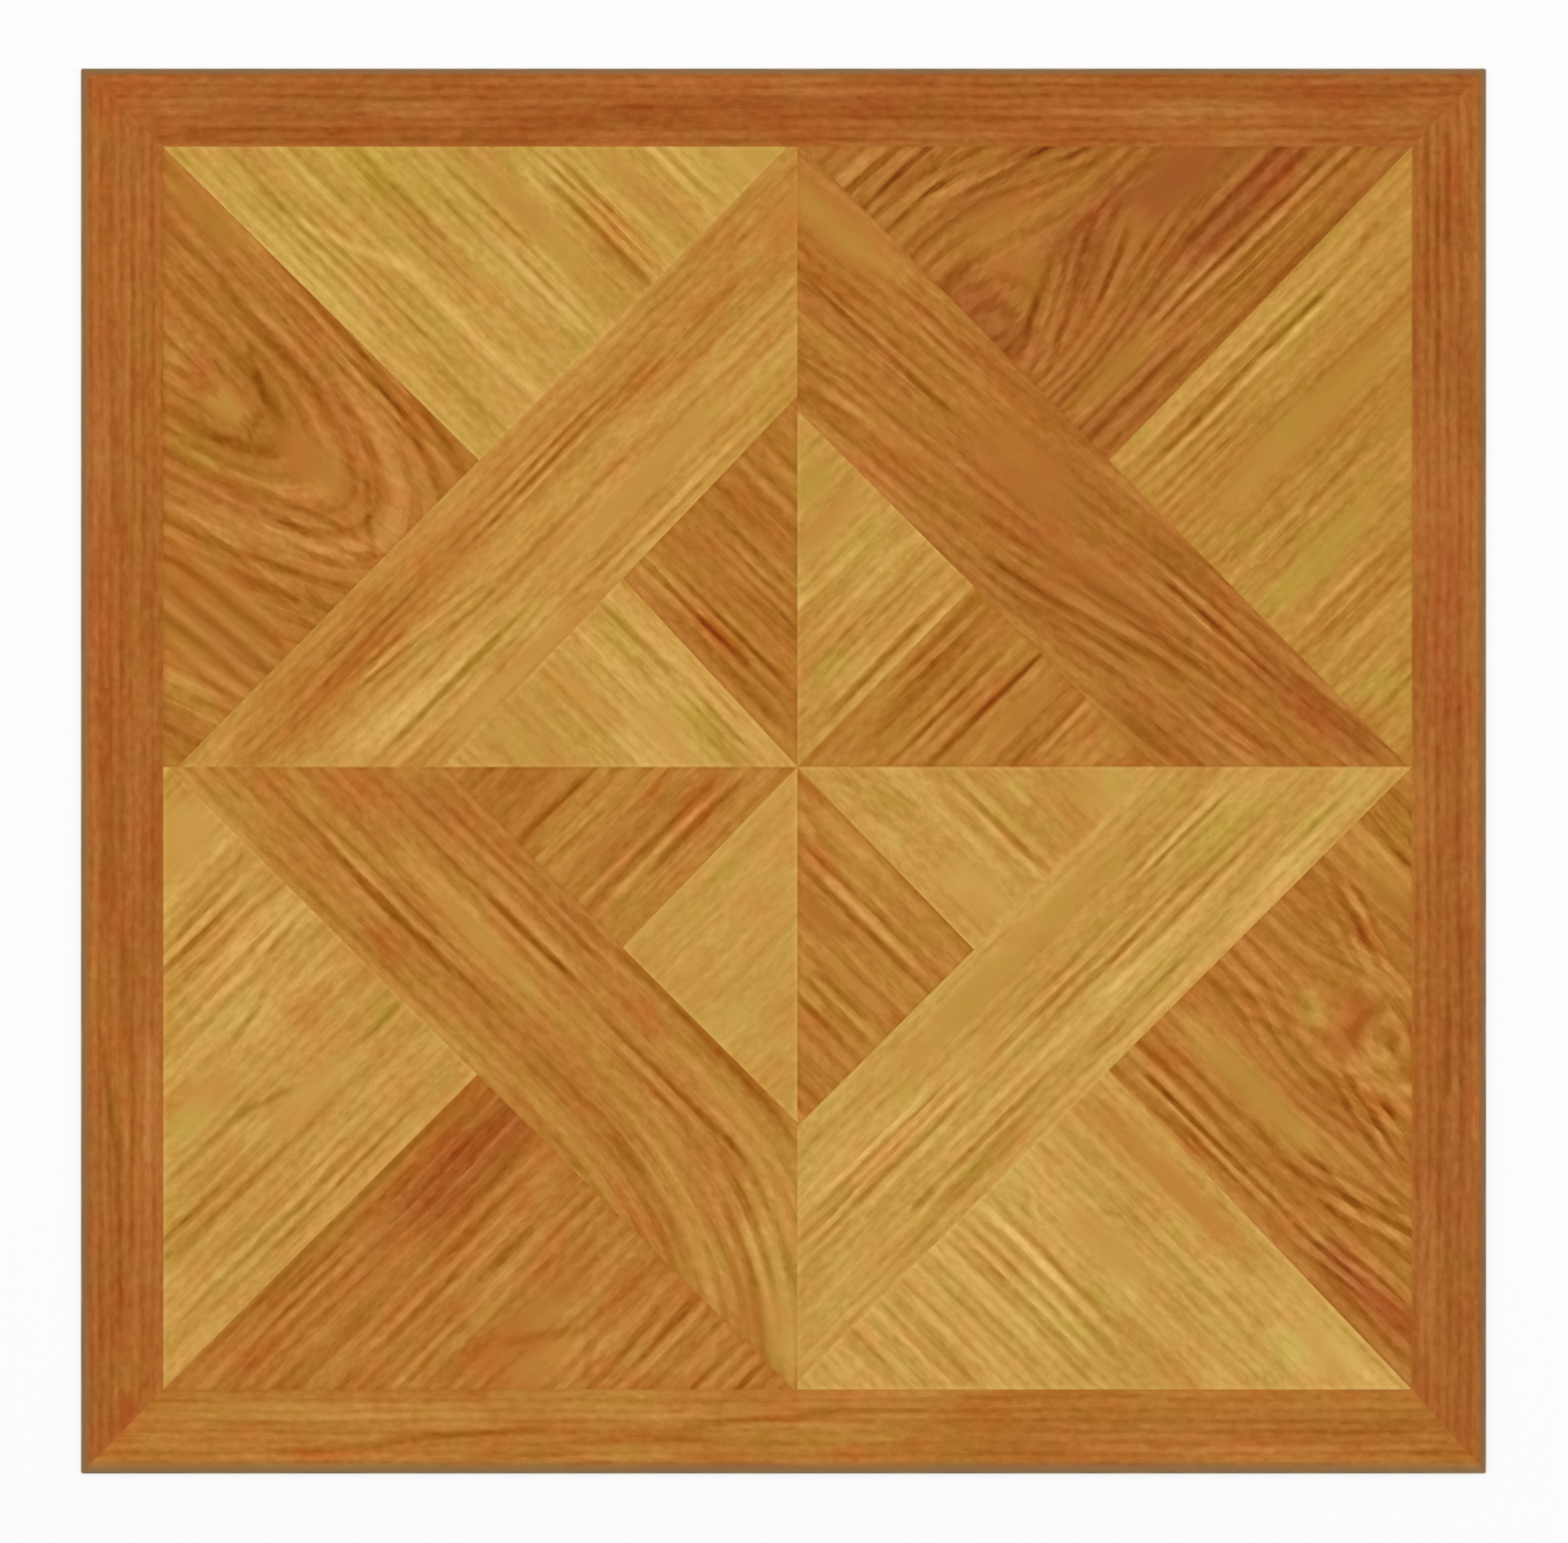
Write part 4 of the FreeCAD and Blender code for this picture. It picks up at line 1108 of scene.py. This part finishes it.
board = Board("br_inner_left", ("centre", "br_inner_end", "br_inner_meet"),
              middle=(16, -38), grain=-45, level=133, seed=580)
board.ink(streaks=(
    (-30, 17, 16, 2.2, 4), (-24, -16, 11, 1.3, -15), (-20, 16, 11, 1.1, -10), (-26, 16, 8.6, 1, 7),
    (-24, 16, 6, 1.2, 13), (-20, 14, 3.8, 1.2, -15), (-16, -2, -1, 2.5, -4), (-6, 16, 1, 1.1, -9),
    (-4, 16, -1, 1.1, 9), (-2, 16, -3.4, 1.1, -9), (-2, 17, -6, 2.2, 6), (-4, 14, -10.4, 1.3, -15),
    (0, 17, -12.4, 1, 9), (2, 17, -14.2, 1.1, -11), (2, 14, -17.5, 2.2, -3), (8, 18, -27.8, 1.2, -11),
    (10, 18, -33, 1.2, -10), (8, 18, -30.5, 1, 7),
), shades=(
    ((-19, 8), (8, 4), 1.2), ((4, -18), (6, 4), 1.2), ((5, 15), (16, 3), -0.5), ((9, 0), (8, 3), -0.7),
), groups=(
    ((-4, 8), (22, 5), 0, 4.8, 13), ((6, -1), (14, 5), 0, 4.2, 9), ((6, -13), (14, 6), 0, 3.7, 13),
    ((13, -30), (8, 6), 0, 3.6, 10),
), calm=(
    ((-11, -1), (10, 3), 0.9), ((6, -6), (12, 2), 0.8),
), lines=(4.2, 11), shade=0.05, rim=-8)

# The finished sheet: its mesh, a flat map for each surface so that the print can be baked
# sharp, and its place in the frame. The print fills most of the map's square, and the back
# and the four cut sides are laid in strips beside it.
map_margin = 0.005
print_share = 0.9
strip_start, strip_end = 0.915, 0.99
strip_width = strip_end - strip_start
side_gap, side_fill = 0.05, 0.85
level_face = 0.999


def map_corner(loop, face):
    """Where a corner of a face goes on the flat map."""
    at = loop.vert.co
    x = (at.x + half_side) / (2 * half_side)
    y = (at.y + half_side) / (2 * half_side)
    if face.normal.z > level_face:
        return (map_margin + x * print_share, map_margin + y * print_share)
    if face.normal.z < -level_face:
        return (strip_start + x * strip_width, map_margin + y * print_share)
    middle = face.calc_center_median()
    on_x_side = abs(middle.x) > abs(middle.y)
    side = (0 if middle.x > 0 else 1) if on_x_side else (2 if middle.y > 0 else 3)
    along = y if on_x_side else x
    inward = half_side - abs(at.x if on_x_side else at.y)
    up = min((at.z + inward) / (gauge + corner_radius), 1)
    in_strip = strip_start + strip_width / 4 * (side + side_gap + side_fill * up)
    return (map_margin + along * print_share, in_strip)


sheet.normal_update()
bake_map = sheet.loops.layers.uv.new("OFBake")
for face in sheet.faces:
    for loop in face.loops:
        loop[bake_map].uv = map_corner(loop, face)
sheet.to_mesh(printed_tile.data)
sheet.free()
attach(printed_tile, "root")
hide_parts("vinyl_tile")

# The floor: a plain white studio floor. The camera sees it nearly white, and it keeps the
# faint shadow that the sheet's edge drops on it.
floor_half = 6.0
floor_below = 0.05 * MM
floor_white = colour(243, 243, 242)
shadow_share = 0.2

floor_mesh = bmesh.new()
corners = [floor_mesh.verts.new((x * floor_half, y * floor_half, -floor_below))
           for x, y in ((-1, -1), (1, -1), (1, 1), (-1, 1))]
floor_mesh.faces.new(corners)
floor = bpy.data.objects.new("studio_floor", bpy.data.meshes.new("studio_floor"))
floor_mesh.to_mesh(floor.data)
floor_mesh.free()
bpy.context.scene.collection.objects.link(floor)


def seen(tree):
    """1 where the camera sees the surface, itself or in a reflection or through glass."""
    rays = [tree.node("ShaderNodeLightPath", {}, {}, name)
            for name in ("Is Camera Ray", "Is Glossy Ray", "Is Transmission Ray")]
    return rays[0].math("MAXIMUM", rays[1]).math("MAXIMUM", rays[2])


tree = new_material("white_floor", floor)[1]
matt_white = tree.node("ShaderNodeBsdfDiffuse", {}, {"Color": floor_white})
plain_white = tree.node("ShaderNodeEmission", {}, {"Color": (1, 1, 1, 1), "Strength": 1.0})
floor_look = tree.node("ShaderNodeMixShader", {}, {
    0: seen(tree) * (1 - shadow_share), 1: matt_white, 2: plain_white,
})
tree.node("ShaderNodeOutputMaterial", {}, {"Surface": floor_look})

# The light: two large soft boxes over the sides and a weaker one over the top edge, in a grey
# room that is dim overhead. Nothing bright stands over the camera, and the boxes aren't
# mirrored in the wear layer, so that no glare lies on the print from any side.
walls_level = 0.58
ceiling_level = 0.08
ceiling_start, ceiling_full = 0.55, 0.85
soft_boxes = (
    ("left_box", (-1.8, 0.3, 1.35), 1.4, 24.0),
    ("right_box", (1.8, -0.1, 1.35), 1.4, 23.0),
    ("far_box", (0.1, 1.9, 1.35), 1.3, 19.0),
)

room = bpy.data.worlds.new("grey_room")
bpy.context.scene.world = room
room.use_nodes = True
room.node_tree.nodes.clear()
tree = Wire(room.node_tree)
walls, ceiling, white = [
    tree.node("ShaderNodeBackground", {}, {"Color": (1, 1, 1, 1), "Strength": level})
    for level in (walls_level, ceiling_level, 1.0)
]
toward = tree.node("ShaderNodeTexCoord", {}, {}, "Generated")
overhead = smooth_step(toward.axis("Z"), ceiling_start, ceiling_full, 0, 1)
camera_ray = tree.node("ShaderNodeLightPath", {}, {}, "Is Camera Ray")
grey = tree.node("ShaderNodeMixShader", {}, {0: overhead, 1: walls, 2: ceiling})
room_look = tree.node("ShaderNodeMixShader", {}, {0: camera_ray, 1: grey, 2: white})
tree.node("ShaderNodeOutputWorld", {}, {"Surface": room_look})

for name, at, side, power in soft_boxes:
    lamp = bpy.data.lights.new(name, "AREA")
    lamp.shape = "SQUARE"
    lamp.size = side
    lamp.energy = power
    soft_box = bpy.data.objects.new(name, lamp)
    soft_box.location = at
    soft_box.rotation_euler = (-Vector(at)).to_track_quat("-Z", "Y").to_euler()
    soft_box.visible_glossy = False
    bpy.context.scene.collection.objects.link(soft_box)

# The camera: a long lens straight above the tile, so that it shows square as in the
# photograph, with the same white margin round it.
lens = 100.0
sensor = 36.0
view_width = 340.0 * MM
view_middle = (0.1 * MM, -0.1 * MM)

camera_data = bpy.data.cameras.new("camera")
camera_data.lens = lens
camera_data.sensor_width = sensor
camera = bpy.data.objects.new("camera", camera_data)
camera.location = (*view_middle, gauge + view_width * lens / sensor)
bpy.context.scene.collection.objects.link(camera)
bpy.context.scene.camera = camera
bpy.context.scene.view_settings.view_transform = "Standard"
